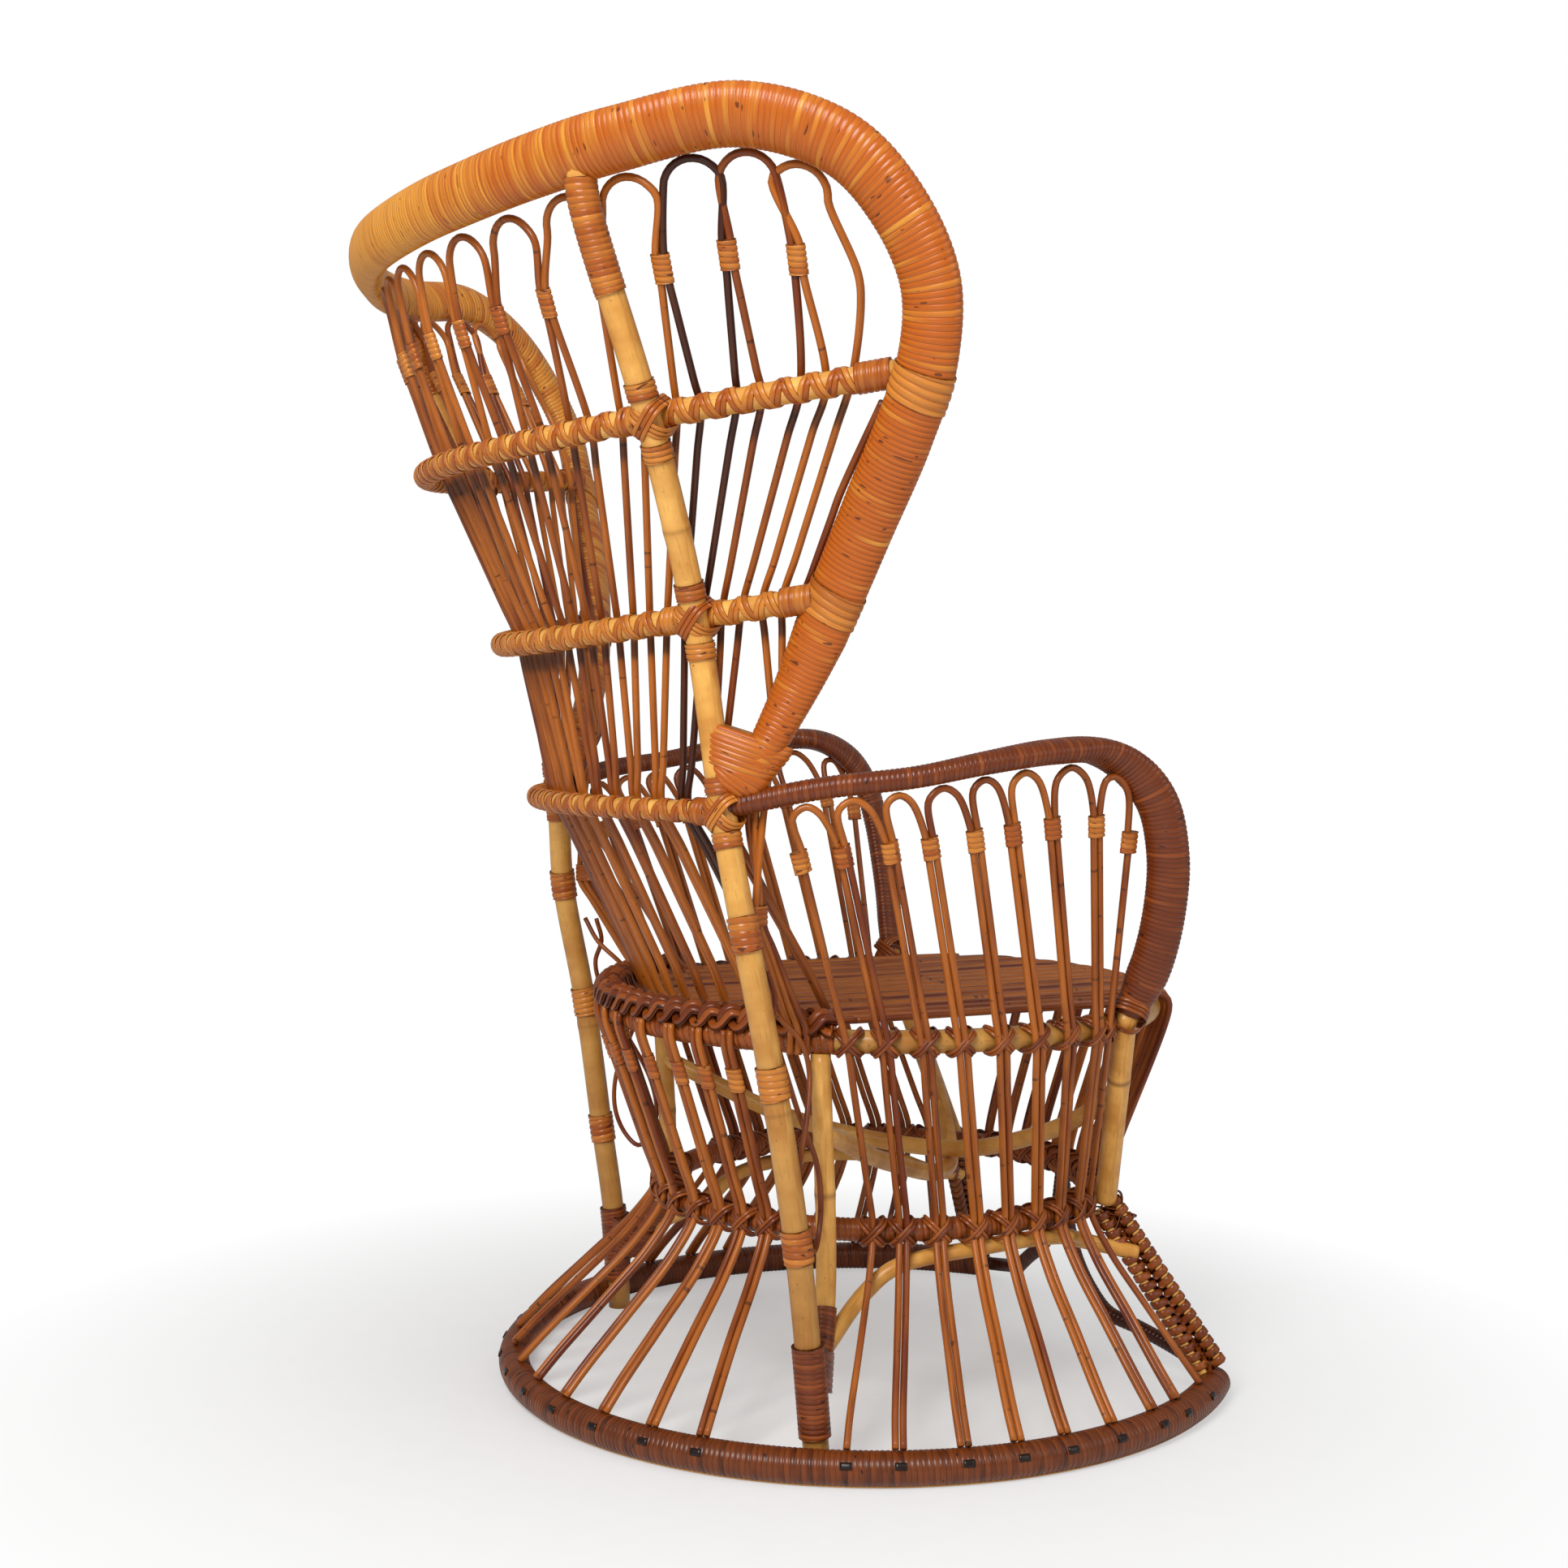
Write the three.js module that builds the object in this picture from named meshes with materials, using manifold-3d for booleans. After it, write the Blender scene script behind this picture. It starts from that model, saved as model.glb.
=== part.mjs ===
// Peacock chair in rattan: a round wing chair of bent poles, thin reeds and cane bindings.
// Millimetres, +Z up. While it is built, the axis of the base ring is x = y = 0, the floor is z = 0
// and the sitter looks along -Y. Paired pieces are made on the sitter's left, +X, and mirrored.
import * as THREE from 'three';
import Module from 'manifold-3d';

const wasm = await Module();
wasm.setup();

// Driving dimensions
const clearance = 0.3;              // between two pieces that touch
const snug = 0.5;                   // between a reed and the curved pole it lies on
const overrun = 12;                 // how far a pole runs on into what trims it

const baseRadius = 327;             // centre line of the base ring, open in front
const basePole = 14;                // its radius over the wrap
const baseEndAngle = 138;           // where it stops, measured from the rear
const ringCentreY = -15;            // centre of the seat and waist rings
const waistRadius = 197;
const waistHeight = 170;
const waistPole = 10;
const seatRadius = 250;
const seatHeight = 339;
const seatPole = 10;

const rimHalfSpan = 450;            // head rim, centre line
const crownDepth = 454;             // how far back its crown lies
const rimHeight = 1032;
const rimHalfWide = 23.5;           // flat oval section over the wrap
const rimHalfThin = 14.5;
const rimEndHalf = 12;              // the two lower ends are drawn in round

const postPole = 10.7;              // rear leg and back post in one pole
const footAngle = 58.3;             // where it stands against the base ring
const innerLegPole = 8.5;
const innerLegAngle = 54.1;
const bracePole = 7;
const archPole = 7;                 // front arch
const crossPole = 8;
const wrapSkin = 2.7;               // cane wound over a pole

const frontLegPole = 10;
const frontLegAngle = 117.4;        // where it passes the seat ring
const frontLegFootAngle = 135.5;    // and where it ends at the waist ring
const strutHalfWide = 14;
const strutHalfThin = 4.5;
const armRearHalf = 9;              // the arm rail starts round ...
const armHalfWide = 18;             // ... and becomes a flat oval in front
const armHalfThin = 11;
const armEndRise = 14;              // its lower end over the seat ring's centre line

const hoopPole = 10.5;
const upperHoopShare = 0.7925;       // height of a hoop at its middle, of the rim height
const lowerHoopShare = 0.6479;
const upperHoop = { halfSpan: 400, depth: 404, sweep: 247, height: upperHoopShare * rimHeight, rise: 39.5 };
const lowerHoop = { halfSpan: 300, depth: 336, sweep: 160.6, height: lowerHoopShare * rimHeight, rise: 30 };
const tieBarPole = 9.5;
const tieBar = { halfSpan: 236, depth: 300, sweep: 72, height: 531, rise: 0 };

const reedRadius = 3;
const reedSides = 4;
const flatReedHalf = 6.2;           // two reeds side by side, as one flat strip
const hairpinWidthShare = 0.4;      // half of an arched reed's width, of the local pitch
const wingWidthShare = 0.31;        // the same where the rim bends round the wing
const neckDrop = 75;                // head rim to the neck ties
const neckHalf = 11;                // half the height of a neck tie
const neckTieWall = 2.3;
const tieLap = 3.6;
const hairpins = 9;                 // in each half of the back
const wingHairpin = hairpins - 1;   // the outermost, which passes outside the tie bar
const hairpinPitch = 29;            // at the tie bar

const deckPitch = 25;
const deckHalfThin = 3;
const deckSetback = 52;             // from the seat ring to where the back reeds land
const borderHalfWide = 9;
const borderHeight = 15;
const borderHalfAngle = 57;

const caneRadius = 1.5;             // binding cane, seen end on
const bindingTurns = 3;
const bindingPitch = 4.6;
const loopSteps = 8;
const scrollReed = 2.3;

const poleSides = 8;
const rad = THREE.MathUtils.degToRad;
const lerp = THREE.MathUtils.lerp;
const V = (x, y, z) => new THREE.Vector3(x, y, z);
const up = V(0, 0, 1);

// Colours
const finish = (color, roughness) => new THREE.MeshStandardMaterial({ color, roughness, metalness: 0 });
const palePole = () => finish(0xc08a45, 0.42);
const wrapCane = () => finish(0xb4652a, 0.38);
const darkCane = () => finish(0x7d3f20, 0.4);
const reedFinish = () => finish(0xa9622c, 0.45);

// Solids: from geometry to manifold and back
function solidOf(geometry) {
  return new wasm.Manifold(new wasm.Mesh({
    numProp: 3,
    vertProperties: new Float32Array(geometry.getAttribute('position').array),
    triVerts: new Uint32Array(geometry.getIndex().array),
  }));
}

function geometryOf(solid) {
  const mesh = solid.getMesh();
  return indexed(Array.from(mesh.vertProperties), Array.from(mesh.triVerts));
}

function indexed(positions, index) {
  const geometry = new THREE.BufferGeometry();
  geometry.setAttribute('position', new THREE.Float32BufferAttribute(positions, 3));
  geometry.setIndex(index);
  return geometry;
}

const join = (solids) => solids.reduce((a, b) => a.add(b));
const trim = (solid, cutters) => cutters.reduce((a, b) => a.subtract(b), solid);

// The piece that is left of a trimmed solid once its offcuts are dropped and its slivers are closed
const sliver = 0.08;

function largest(solid) {
  return solid.decompose().reduce((a, b) => (b.volume() > a.volume() ? b : a)).simplify(sliver);
}

const chair = new THREE.Group();

function place(name, solid, material) {
  const mesh = new THREE.Mesh(geometryOf(solid), material);
  mesh.name = name;
  chair.add(mesh);
}

function mirrored(solid) {
  const geometry = geometryOf(solid);
  const positions = Array.from(geometry.getAttribute('position').array, (c, i) => (i % 3 ? c : -c));
  const index = Array.from(geometry.getIndex().array);
  for (let i = 0; i < index.length; i += 3) {
    [index[i + 1], index[i + 2]] = [index[i + 2], index[i + 1]];
  }
  return solidOf(indexed(positions, index));
}

function placePair(name, solid, material) {
  place(`${name}_left`, solid, material());
  place(`${name}_right`, mirrored(solid), material());
}

// Paths
function smooth(points, steps) {
  return new THREE.CatmullRomCurve3(points, false, 'centripetal').getSpacedPoints(steps);
}

function polar(radius, degrees, height, centreY = ringCentreY) {
  return V(radius * Math.sin(rad(degrees)), centreY + radius * Math.cos(rad(degrees)), height);
}

function directionAt(path, i, closed = false) {
  const last = path.length - 1;
  const before = closed ? path[(i + last) % path.length] : path[Math.max(i - 1, 0)];
  const after = closed ? path[(i + 1) % path.length] : path[Math.min(i + 1, last)];
  return after.clone().sub(before).normalize();
}

function lengthOf(path) {
  return path.slice(1).reduce((sum, p, i) => sum + p.distanceTo(path[i]), 0);
}

// Point and direction at a distance along a path of straight steps
function along(path, distance) {
  let rest = distance;
  let i = 0;
  while (i < path.length - 2 && rest > path[i].distanceTo(path[i + 1])) {
    rest -= path[i].distanceTo(path[i + 1]);
    i += 1;
  }
  const step = path[i + 1].clone().sub(path[i]).normalize();
  return { point: path[i].clone().addScaledVector(step, rest), direction: step };
}

// Where a path of straight steps passes a height, from its end upwards
function atHeight(path, height) {
  const i = path.findIndex((p, k) => k > 0 && (p.z - height) * (path[k - 1].z - height) <= 0);
  const [a, b] = [path[i - 1], path[i]];
  return a.clone().lerp(b, (height - a.z) / (b.z - a.z));
}

// Sections: corner points around a path, the first axis along the given side direction
function oval(halfWide, halfThin, sides = poleSides) {
  const grow = 1 / Math.cos(Math.PI / sides);
  return Array.from({ length: sides }, (_, k) => {
    const a = ((k + 0.5) / sides) * 2 * Math.PI;
    return [grow * halfWide * Math.cos(a), grow * halfThin * Math.sin(a)];
  });
}

const strip = (halfWide, halfThin) => [
  [halfWide, halfThin], [-halfWide, halfThin], [-halfWide, -halfThin], [halfWide, -halfThin],
];

// A closed solid swept along a path. sideOf gives the direction of the section's first axis and
// sectionOf its corners, both from the share of the path that lies behind.
function sweep(path, sideOf, sectionOf, closed = false) {
  const sides = sectionOf(0).length;
  const positions = [];
  path.forEach((p, i) => {
    const share = i / (path.length - 1);
    const t = directionAt(path, i, closed);
    const u = sideOf(p, share, t).clone();
    u.addScaledVector(t, -u.dot(t)).normalize();
    const w = t.clone().cross(u);
    sectionOf(share).forEach(([a, b]) => {
      positions.push(...p.clone().addScaledVector(u, a).addScaledVector(w, b).toArray());
    });
  });
  const index = [];
  const bays = closed ? path.length : path.length - 1;
  for (let i = 0; i < bays; i += 1) {
    const here = i * sides;
    const next = ((i + 1) % path.length) * sides;
    for (let k = 0; k < sides; k += 1) {
      const m = (k + 1) % sides;
      index.push(here + k, here + m, next + m, here + k, next + m, next + k);
    }
  }
  if (!closed) {
    const end = (path.length - 1) * sides;
    for (let k = 1; k < sides - 1; k += 1) {
      index.push(0, k + 1, k, end, end + k, end + k + 1);
    }
  }
  return solidOf(indexed(positions, index));
}

const upward = () => up;
const outward = (p) => V(p.x, p.y - ringCentreY, 0);
const pole = (path, radius, sideOf = upward) => sweep(path, sideOf, () => oval(radius, radius));
const reed = (path, sideOf = outward) => sweep(path, sideOf, () => oval(reedRadius, reedRadius, reedSides));

// What a pole cuts from its neighbours: the pole and its clearance, at both ends too
function cutter(path, radius, sideOf = upward) {
  const last = path.length - 1;
  const longer = path.map((p) => p.clone());
  longer[0].addScaledVector(directionAt(path, 0), -clearance);
  longer[last].addScaledVector(directionAt(path, last), clearance);
  return pole(longer, radius + clearance, sideOf);
}

// Rings
const ringSteps = 36;

function ring(radius, height, thickness) {
  const path = Array.from({ length: ringSteps }, (_, i) => polar(radius, (i * 360) / ringSteps, height));
  return sweep(path, upward, () => oval(thickness, thickness), true);
}

const seatRing = ring(seatRadius, seatHeight, seatPole);
const waistRing = ring(waistRadius, waistHeight, waistPole);
place('seat_ring', seatRing, palePole());
place('waist_ring', waistRing, wrapCane());

const baseSteps = 26;
const baseAt = (degrees, height = basePole) => polar(baseRadius, degrees, height, 0);
const basePath = Array.from({ length: baseSteps + 1 }, (_, i) => (
  baseAt(lerp(-baseEndAngle, baseEndAngle, i / baseSteps))
));
const baseRing = pole(basePath, basePole);
place('base_ring', baseRing, darkCane());

// Head rim, from one lower end over the crown to the other
const frameAt = ([x, y, z]) => V(x * rimHalfSpan, y * crownDepth, z * rimHeight);
const rimShares = [
  [0.547, 0.463, 0.543], [0.607, 0.401, 0.611], [0.684, 0.366, 0.674], [0.778, 0.344, 0.734],
  [0.887, 0.33, 0.79], [0.96, 0.324, 0.837], [0.998, 0.339, 0.887], [0.998, 0.399, 0.937],
  [0.967, 0.478, 0.976], [0.873, 0.608, 1], [0.736, 0.769, 0.99], [0.573, 0.863, 0.984],
  [0.409, 0.923, 0.98], [0.244, 0.969, 0.977],
];
const crownShare = [0, 1, 0.974];
const heartShare = [0, 0.79, 0.62];      // the point that the rim's flat side looks at
const rimSteps = 38;
const rimHalfShares = [...rimShares, crownShare];
const mirrorPoints = (points) => points.map((p) => V(-p.x, p.y, p.z));
const rimLeft = rimHalfShares.map(frameAt);
const rimPath = smooth([...rimLeft, ...mirrorPoints(rimLeft).reverse().slice(1)], rimSteps);
const heart = frameAt(heartShare);
const towardHeart = (p) => heart.clone().sub(p);
const drawInShare = 0.12;                // part of the rim over which an end is drawn in

function rimSection(share, extra = 0) {
  const fromEnd = Math.min(share, 1 - share);
  const full = Math.min(fromEnd / drawInShare, 1);
  return oval(lerp(rimEndHalf, rimHalfWide, full) + extra, lerp(rimEndHalf, rimHalfThin, full) + extra);
}

const rimBlank = sweep(rimPath, towardHeart, (share) => rimSection(share));
const rimCutter = sweep(rimPath, towardHeart, (share) => rimSection(share, clearance));

// Rear legs: foot against the base ring, head under the rim
const sideways = () => V(1, 0, 0);
const footRadius = baseRadius - basePole - postPole - clearance;
const footStand = 18;                    // straight stretch at the foot
const foot = polar(footRadius, footAngle, 0, 0);
const postShares = [
  [0.568, 0.365, 0.101], [0.576, 0.388, 0.18], [0.566, 0.43, 0.307], [0.561, 0.48, 0.422],
  [0.526, 0.502, 0.501], [0.52, 0.556, 0.665], [0.608, 0.671, 0.81], [0.667, 0.81, 0.959],
  [0.673, 0.823, 0.979],
];
const postSteps = 14;
const footTop = foot.clone().setZ(footStand);
const postPath = [foot, ...smooth([footTop, ...postShares.map(frameAt)], postSteps)];
const baseCutter = cutter(basePath, basePole);
const postCutter = cutter(postPath, postPole, sideways);
const bothPosts = [postCutter, mirrored(postCutter)];
const post = largest(trim(pole(postPath, postPole, sideways), [rimCutter, baseCutter]));
placePair('back_post', post, palePole);
place('top_rim', largest(trim(rimBlank, bothPosts)), wrapCane());

// Least gap between turns of one wound tube: measured on points along its path, at least one and a
// half tube widths apart on it, less the width of its section
function leastGap(path, tubeWidth) {
  const points = [];
  path.slice(1).forEach((p, i) => {
    for (let k = 0; k < gapPoints; k += 1) points.push(path[i].clone().lerp(p, k / gapPoints));
  });
  const total = lengthOf(path);
  const pitch = total / points.length;
  const skip = Math.ceil((apartShare * tubeWidth) / pitch);
  let least = total;
  for (let i = 0; i < points.length; i += 1) {
    for (let k = i + skip; k < points.length; k += 1) least = Math.min(least, points[i].distanceTo(points[k]));
  }
  return least - tubeWidth;
}

const gapPoints = 6;                     // on each step of a path
const apartShare = 3.2;

// Bindings: cane wound round the rear legs, corner over corner
const bindingShares = { upper: 1.286, middle: 0.935, lower: 0.549 };   // of the seat height
const bindingRadius = (postPole + clearance + caneRadius) / Math.cos(Math.PI / loopSteps) + snug / 2;
const bindingReach = bindingRadius + caneRadius;

function bindingPath(height) {
  const steps = bindingTurns * loopSteps;
  const rise = bindingPitch / loopSteps;
  return Array.from({ length: steps + 1 }, (_, i) => {
    const z = height + (i - steps / 2) * rise;
    const next = atHeight(postPath, z + bindingPitch);
    const centre = atHeight(postPath, z);
    const t = next.sub(centre).normalize();
    const u = sideways().addScaledVector(t, -t.x).normalize();
    const angle = ((i + 1 / 2) / loopSteps) * 2 * Math.PI;
    return centre.addScaledVector(u, bindingRadius * Math.cos(angle))
      .addScaledVector(t.cross(u), bindingRadius * Math.sin(angle));
  });
}

Object.entries(bindingShares).forEach(([name, share]) => {
  const height = share * seatHeight;
  const axis = atHeight(postPath, height);
  const path = bindingPath(height);
  const winding = sweep(path, (p) => p.clone().sub(axis).setZ(0), () => strip(caneRadius, caneRadius));
  placePair(`leg_binding_${name}`, winding, wrapCane);
  const gap = leastGap(path, caneRadius * 2);
  console.log(`leg_binding_${name}: least gap to itself ${gap.toFixed(2)} mm`);
});

// Hoops and tie bar behind the reeds, lapped where they cross the posts
const backLean = V(0, 0.33, 0.94);       // the way the back leans, without a length
const hoopSteps = 16;
const hoopReach = 1.03;
const leaning = () => backLean;

function hoopPoint(hoop, s) {
  return V(s * hoop.halfSpan, hoop.depth - hoop.sweep * s * s, hoop.height + hoop.rise * s * s);
}

function hoopLine(hoop, reach) {
  return Array.from({ length: hoopSteps + 1 }, (_, i) => hoopPoint(hoop, lerp(-reach, reach, i / hoopSteps)));
}

const hoopLines = {
  upper_hoop: hoopLine(upperHoop, hoopReach),
  lower_hoop: hoopLine(lowerHoop, hoopReach),
};
const tieLine = hoopLine(tieBar, 1);
Object.entries(hoopLines).forEach(([name, line]) => {
  place(name, largest(trim(pole(line, hoopPole, leaning), [...bothPosts, rimCutter])), wrapCane());
});
place('tie_bar', largest(trim(pole(tieLine, tieBarPole, leaning), bothPosts)), wrapCane());
const backCutters = [
  ...Object.values(hoopLines).map((line) => cutter(line, hoopPole, leaning)),
  cutter(tieLine, tieBarPole, leaning), rimCutter, postCutter,
];

// Arm rails: from the posts, forward, and down to the seat ring
const armHalfSpan = 303;
const armHeight = 578;
const armReach = 150;                    // how far forward they come
const armRearShare = 0.924;              // height at the post, of the arm height
const armShares = [
  [0.908, 1.1, 0.952], [0.983, 0.607, 0.967], [1, 0.2, 0.986], [0.987, -0.2, 1], [0.967, -0.5, 1],
  [0.967, -0.72, 0.974], [0.974, -0.88, 0.926], [0.96, -0.967, 0.849], [0.927, -0.993, 0.775],
  [0.872, -0.987, 0.692],
];
const armAt = ([x, y, z]) => V(x * armHalfSpan, y * armReach, z * armHeight);
const seatContact = (half) => seatRadius + seatPole + half + clearance;
const waistContact = (half) => waistRadius + waistPole + half + clearance;
const armSteps = 17;
const seatCutter = ring(seatRadius, seatHeight, seatPole + clearance);
const waistCutter = ring(waistRadius, waistHeight, waistPole + clearance);
const armEnd = polar(seatContact(armHalfThin), frontLegAngle, seatHeight + armEndRise);
const armStart = atHeight(postPath, armRearShare * armHeight);
const armPath = smooth([armStart, ...armShares.map(armAt), armEnd], armSteps);
const armFlare = V(0.6, -0.8, 0);        // the way its broad side faces in front, without a length
const armFlatShare = [0.25, 0.55];       // part of the rail over which it turns from round to flat
const armRootShare = 0.93;               // and where it is drawn in again

function armFlatness(share) {
  const [from, to] = armFlatShare;
  const rise = THREE.MathUtils.smoothstep(share, from, to);
  return rise * (1 - THREE.MathUtils.smoothstep(share, armRootShare, 1) / 2);
}

function armSection(share) {
  const flat = armFlatness(share);
  return oval(lerp(armRearHalf, armHalfWide, flat), lerp(armRearHalf, armHalfThin, flat));
}

function armSide(p, share, t) {
  return up.clone().cross(t).lerp(armFlare, THREE.MathUtils.smoothstep(share, ...armFlatShare));
}

const armGrowShare = 1 + clearance / armRearHalf;
const armCutter = sweep(armPath, armSide, (share) => (
  armSection(share).map(([a, b]) => [a * armGrowShare, b * armGrowShare])));
const armRail = largest(trim(sweep(armPath, armSide, armSection), [postCutter, seatCutter]));
placePair('arm_rail', armRail, darkCane);

// Front legs: the arm poles run on, bare, from the seat ring to the waist ring
const armEndWay = directionAt(armPath, armPath.length - 1);
const legTop = armEnd.clone().addScaledVector(armEndWay, clearance);
const legNeck = legTop.clone().addScaledVector(armEndWay, frontLegPole);
const legFoot = polar(waistContact(frontLegPole), frontLegFootAngle, waistHeight);
const legBendShare = 0.5;
const legMiddle = legNeck.clone().lerp(legFoot, legBendShare);
const legSteps = 5;
const legPath = [legTop, ...smooth([legNeck, legMiddle, legFoot], legSteps)];
const legCutter = cutter(legPath, frontLegPole, sideways);
const frontLeg = largest(trim(pole(legPath, frontLegPole, sideways), [seatCutter, waistCutter]));
placePair('front_leg', frontLeg, palePole);

// Front struts: flat woven bands from the waist ring to the ends of the base ring
const strutSide = V(0.4, -0.9, 0);       // the way its broad side runs, without a length
const strutAngle = 136;
const strutRise = 10;
const strutFoot = baseAt(strutAngle, 2 * basePole + clearance);
const strutTop = legFoot.clone().setZ(waistHeight - strutHalfThin);
const strutPath = [strutTop, strutFoot.clone().setZ(strutFoot.z + strutRise), strutFoot];
const strutBlank = sweep(strutPath, () => strutSide, () => strip(strutHalfWide, strutHalfThin));
const strutCutter = sweep(strutPath, () => strutSide, () => (
  strip(strutHalfWide + clearance, strutHalfThin + clearance)
));
placePair('front_strut', largest(trim(strutBlank, [legCutter, waistCutter, baseCutter])), wrapCane);

// Front arch: an ogee from the ends of the base ring up to the waist ring
const capWay = directionAt(basePath, basePath.length - 1);
const archStart = basePath[basePath.length - 1].clone().addScaledVector(capWay, clearance);
const archRunOn = archStart.clone().addScaledVector(capWay, overrun);
const archShares = [
  [0.49, -0.749, 0.147], [0.352, -0.694, 0.218], [0.269, -0.648, 0.265], [0.19, -0.636, 0.359],
  [0.095, -0.642, 0.494], [0.04, -0.648, 0.65],
];
const archAt = ([x, y, z]) => V(x * baseRadius, y * baseRadius, z * waistHeight);
const archCrown = polar(waistRadius, 180, waistHeight - waistPole - clearance);
const archSteps = 10;
const archPath = [archStart, ...smooth([archRunOn, ...archShares.map(archAt), archCrown], archSteps)];
const archHalf = pole(archPath, archPole, () => V(0, 1, 0));
place('front_arch', trim(join([archHalf, mirrored(archHalf)]), [waistCutter]), darkCane());

// Inner legs: from under the seat ring into the foot of the rear leg
const innerTop = polar(seatRadius, innerLegAngle, seatHeight - seatPole - clearance);
const innerShares = [[1, 1, 0.94], [0.99, 0.955, 0.5], [1.025, 0.985, 0.354]];
const innerAt = ([x, y, z]) => V(x * innerTop.x, y * innerTop.y, z * seatHeight);
const mergeHeight = 62;
const mergeSide = V(-0.8, -0.6, 0);      // from the rear leg to the inner leg, without a length
const innerEnd = atHeight(postPath, mergeHeight)
  .addScaledVector(mergeSide, postPole + innerLegPole + clearance);
const innerSteps = 9;
const innerPath = [innerTop, ...smooth([...innerShares.map(innerAt), innerEnd], innerSteps)];
const innerCutter = cutter(innerPath, innerLegPole, sideways);
const innerLeg = largest(trim(pole(innerPath, innerLegPole, sideways), [postCutter, seatCutter]));
placePair('inner_leg', innerLeg, palePole);

// Arched braces: from the inner legs, under the waist ring, to the front struts
const braceRootHeight = 85;
const braceShares = [                    // degrees from the rear, then shares of the waist ring's sizes
  [61.9, 1.09, 0.706], [69.1, 1.04, 0.824], [92, 1.015, 0.894], [118, 1.03, 0.87], [129, 1.04, 0.8],
];
const bracePoints = braceShares.map(([angle, r, h]) => polar(r * waistRadius, angle, h * waistHeight));
const braceEndShare = 0.3;               // how far down the strut it ends
const braceEnd = strutTop.clone().lerp(strutFoot, braceEndShare);
const braceSteps = 10;
const bracePath = smooth([atHeight(innerPath, braceRootHeight), ...bracePoints, braceEnd], braceSteps);
const braceCutter = cutter(bracePath, bracePole, outward);
const brace = trim(pole(bracePath, bracePole, outward), [innerCutter, waistCutter, strutCutter]);
placePair('arched_brace', largest(brace), palePole);

// Foot wraps: cane over the rear leg and over the fork of the inner leg
const footWrapHeights = [30, 104];
const forkWrapHeights = [63, 77];

function stretchOf(path, [from, to]) {
  const inside = path.filter((p) => p.z > from && p.z < to);
  return [atHeight(path, from), ...(path[0].z < to ? inside : inside.reverse()), atHeight(path, to)];
}

const wrapOver = (path, heights, radius) => pole(stretchOf(path, heights), radius + wrapSkin, sideways);
const footWrap = join([
  wrapOver(postPath, footWrapHeights, postPole),
  wrapOver(innerPath, forkWrapHeights, innerLegPole),
]);
placePair('foot_wrap', largest(trim(footWrap, [postCutter, innerCutter, baseCutter])), wrapCane);

// Crossed poles under the seat
const crossRearShare = 0.775;            // heights of their ends, of the seat height
const crossFrontShare = 0.8;
const crossShares = [[0.42, 0.1, 0.62], [0, -0.35, 0.545], [-0.42, -0.52, 0.66]];
const crossSteps = 8;

function crossPath(lift) {
  const rear = atHeight(innerPath, crossRearShare * seatHeight);
  const front = atHeight(legPath, crossFrontShare * seatHeight);
  const points = crossShares.map(([x, y, z]) => V(x * seatRadius, y * seatRadius, z * seatHeight));
  points[1].z += lift;
  return smooth([rear, ...points, front.setX(-front.x)], crossSteps);
}

const crossLift = crossPole + clearance / 2;
const crossCutters = [innerCutter, mirrored(legCutter)];
const upperCross = crossPath(crossLift);
const lowerCross = crossPath(-crossLift);
const lowerCutters = [...crossCutters, mirrored(cutter(upperCross, crossPole))];
place('cross_pole_upper', largest(trim(pole(upperCross, crossPole), crossCutters)), palePole());
place('cross_pole_lower', mirrored(largest(trim(pole(lowerCross, crossPole), lowerCutters))), palePole());

// Back reeds. Leg 0 is the one nearest the middle; hairpin k has legs 2k and 2k + 1.
// Where the hairpins hang along half of the rim, and last the untied leg beside the end reed
const hairpinShares = [0.027, 0.081, 0.139, 0.201, 0.267, 0.325, 0.377, 0.427, 0.477, 0.53];
const endReedShares = [0.7, 0.78];
const crownFirst = rimPath.slice(0, rimSteps / 2 + 1).reverse();
const halfRim = lengthOf(crownFirst);
const hoopSnug = 1.3;                    // between a reed and a hoop, for the reed bends there
const hoopPair = 0.2;                    // half a tied pair, as a share of the pair pitch
const upperPairs = 9.3;                  // pair pitches in half of the upper hoop
const reedGap = reedRadius + clearance / 2;
const endReed = 2 * hairpins;

function half(line) {
  return line.slice((line.length - 1) / 2);
}

// A point that lies on the inner side of a hoop, a distance along it from the middle
function insideHoop(line, distance, poleRadius) {
  const { point, direction } = along(half(line), Math.abs(distance));
  const inward = direction.clone().cross(backLean).normalize();
  inward.multiplyScalar(-Math.sign(inward.y));
  return point.addScaledVector(inward, poleRadius + reedRadius + hoopSnug);
}

const upperArc = lengthOf(half(hoopLine(upperHoop, 1)));
const lowerArc = lengthOf(half(hoopLine(lowerHoop, 1)));

function atUpperHoop(leg) {
  const pair = Math.ceil(leg / 2);
  const step = leg % 2 ? -hoopPair : hoopPair;
  const pitches = leg === endReed - 1 ? pair - hoopPair : pair + step;
  return insideHoop(hoopLines.upper_hoop, (pitches * upperArc) / upperPairs, hoopPole);
}

function atLowerHoop(leg) {
  return insideHoop(hoopLines.lower_hoop, ((leg + 1 / 2) * lowerArc) / (endReed + 3 / 2), hoopPole);
}

const hairpinX = (k) => (k + 1 / 2) * hairpinPitch;

function atTieBar(leg) {
  const x = hairpinX(Math.floor(leg / 2)) + (leg % 2 ? reedGap : -reedGap);
  const line = half(tieLine);
  const i = line.findIndex((p) => p.x > x);
  const [a, b] = [line[i - 1], line[i]];
  const share = (x - a.x) / (b.x - a.x);
  const distance = lengthOf(line.slice(0, i)) + share * a.distanceTo(b);
  return insideHoop(tieLine, distance, tieBarPole);
}

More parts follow.
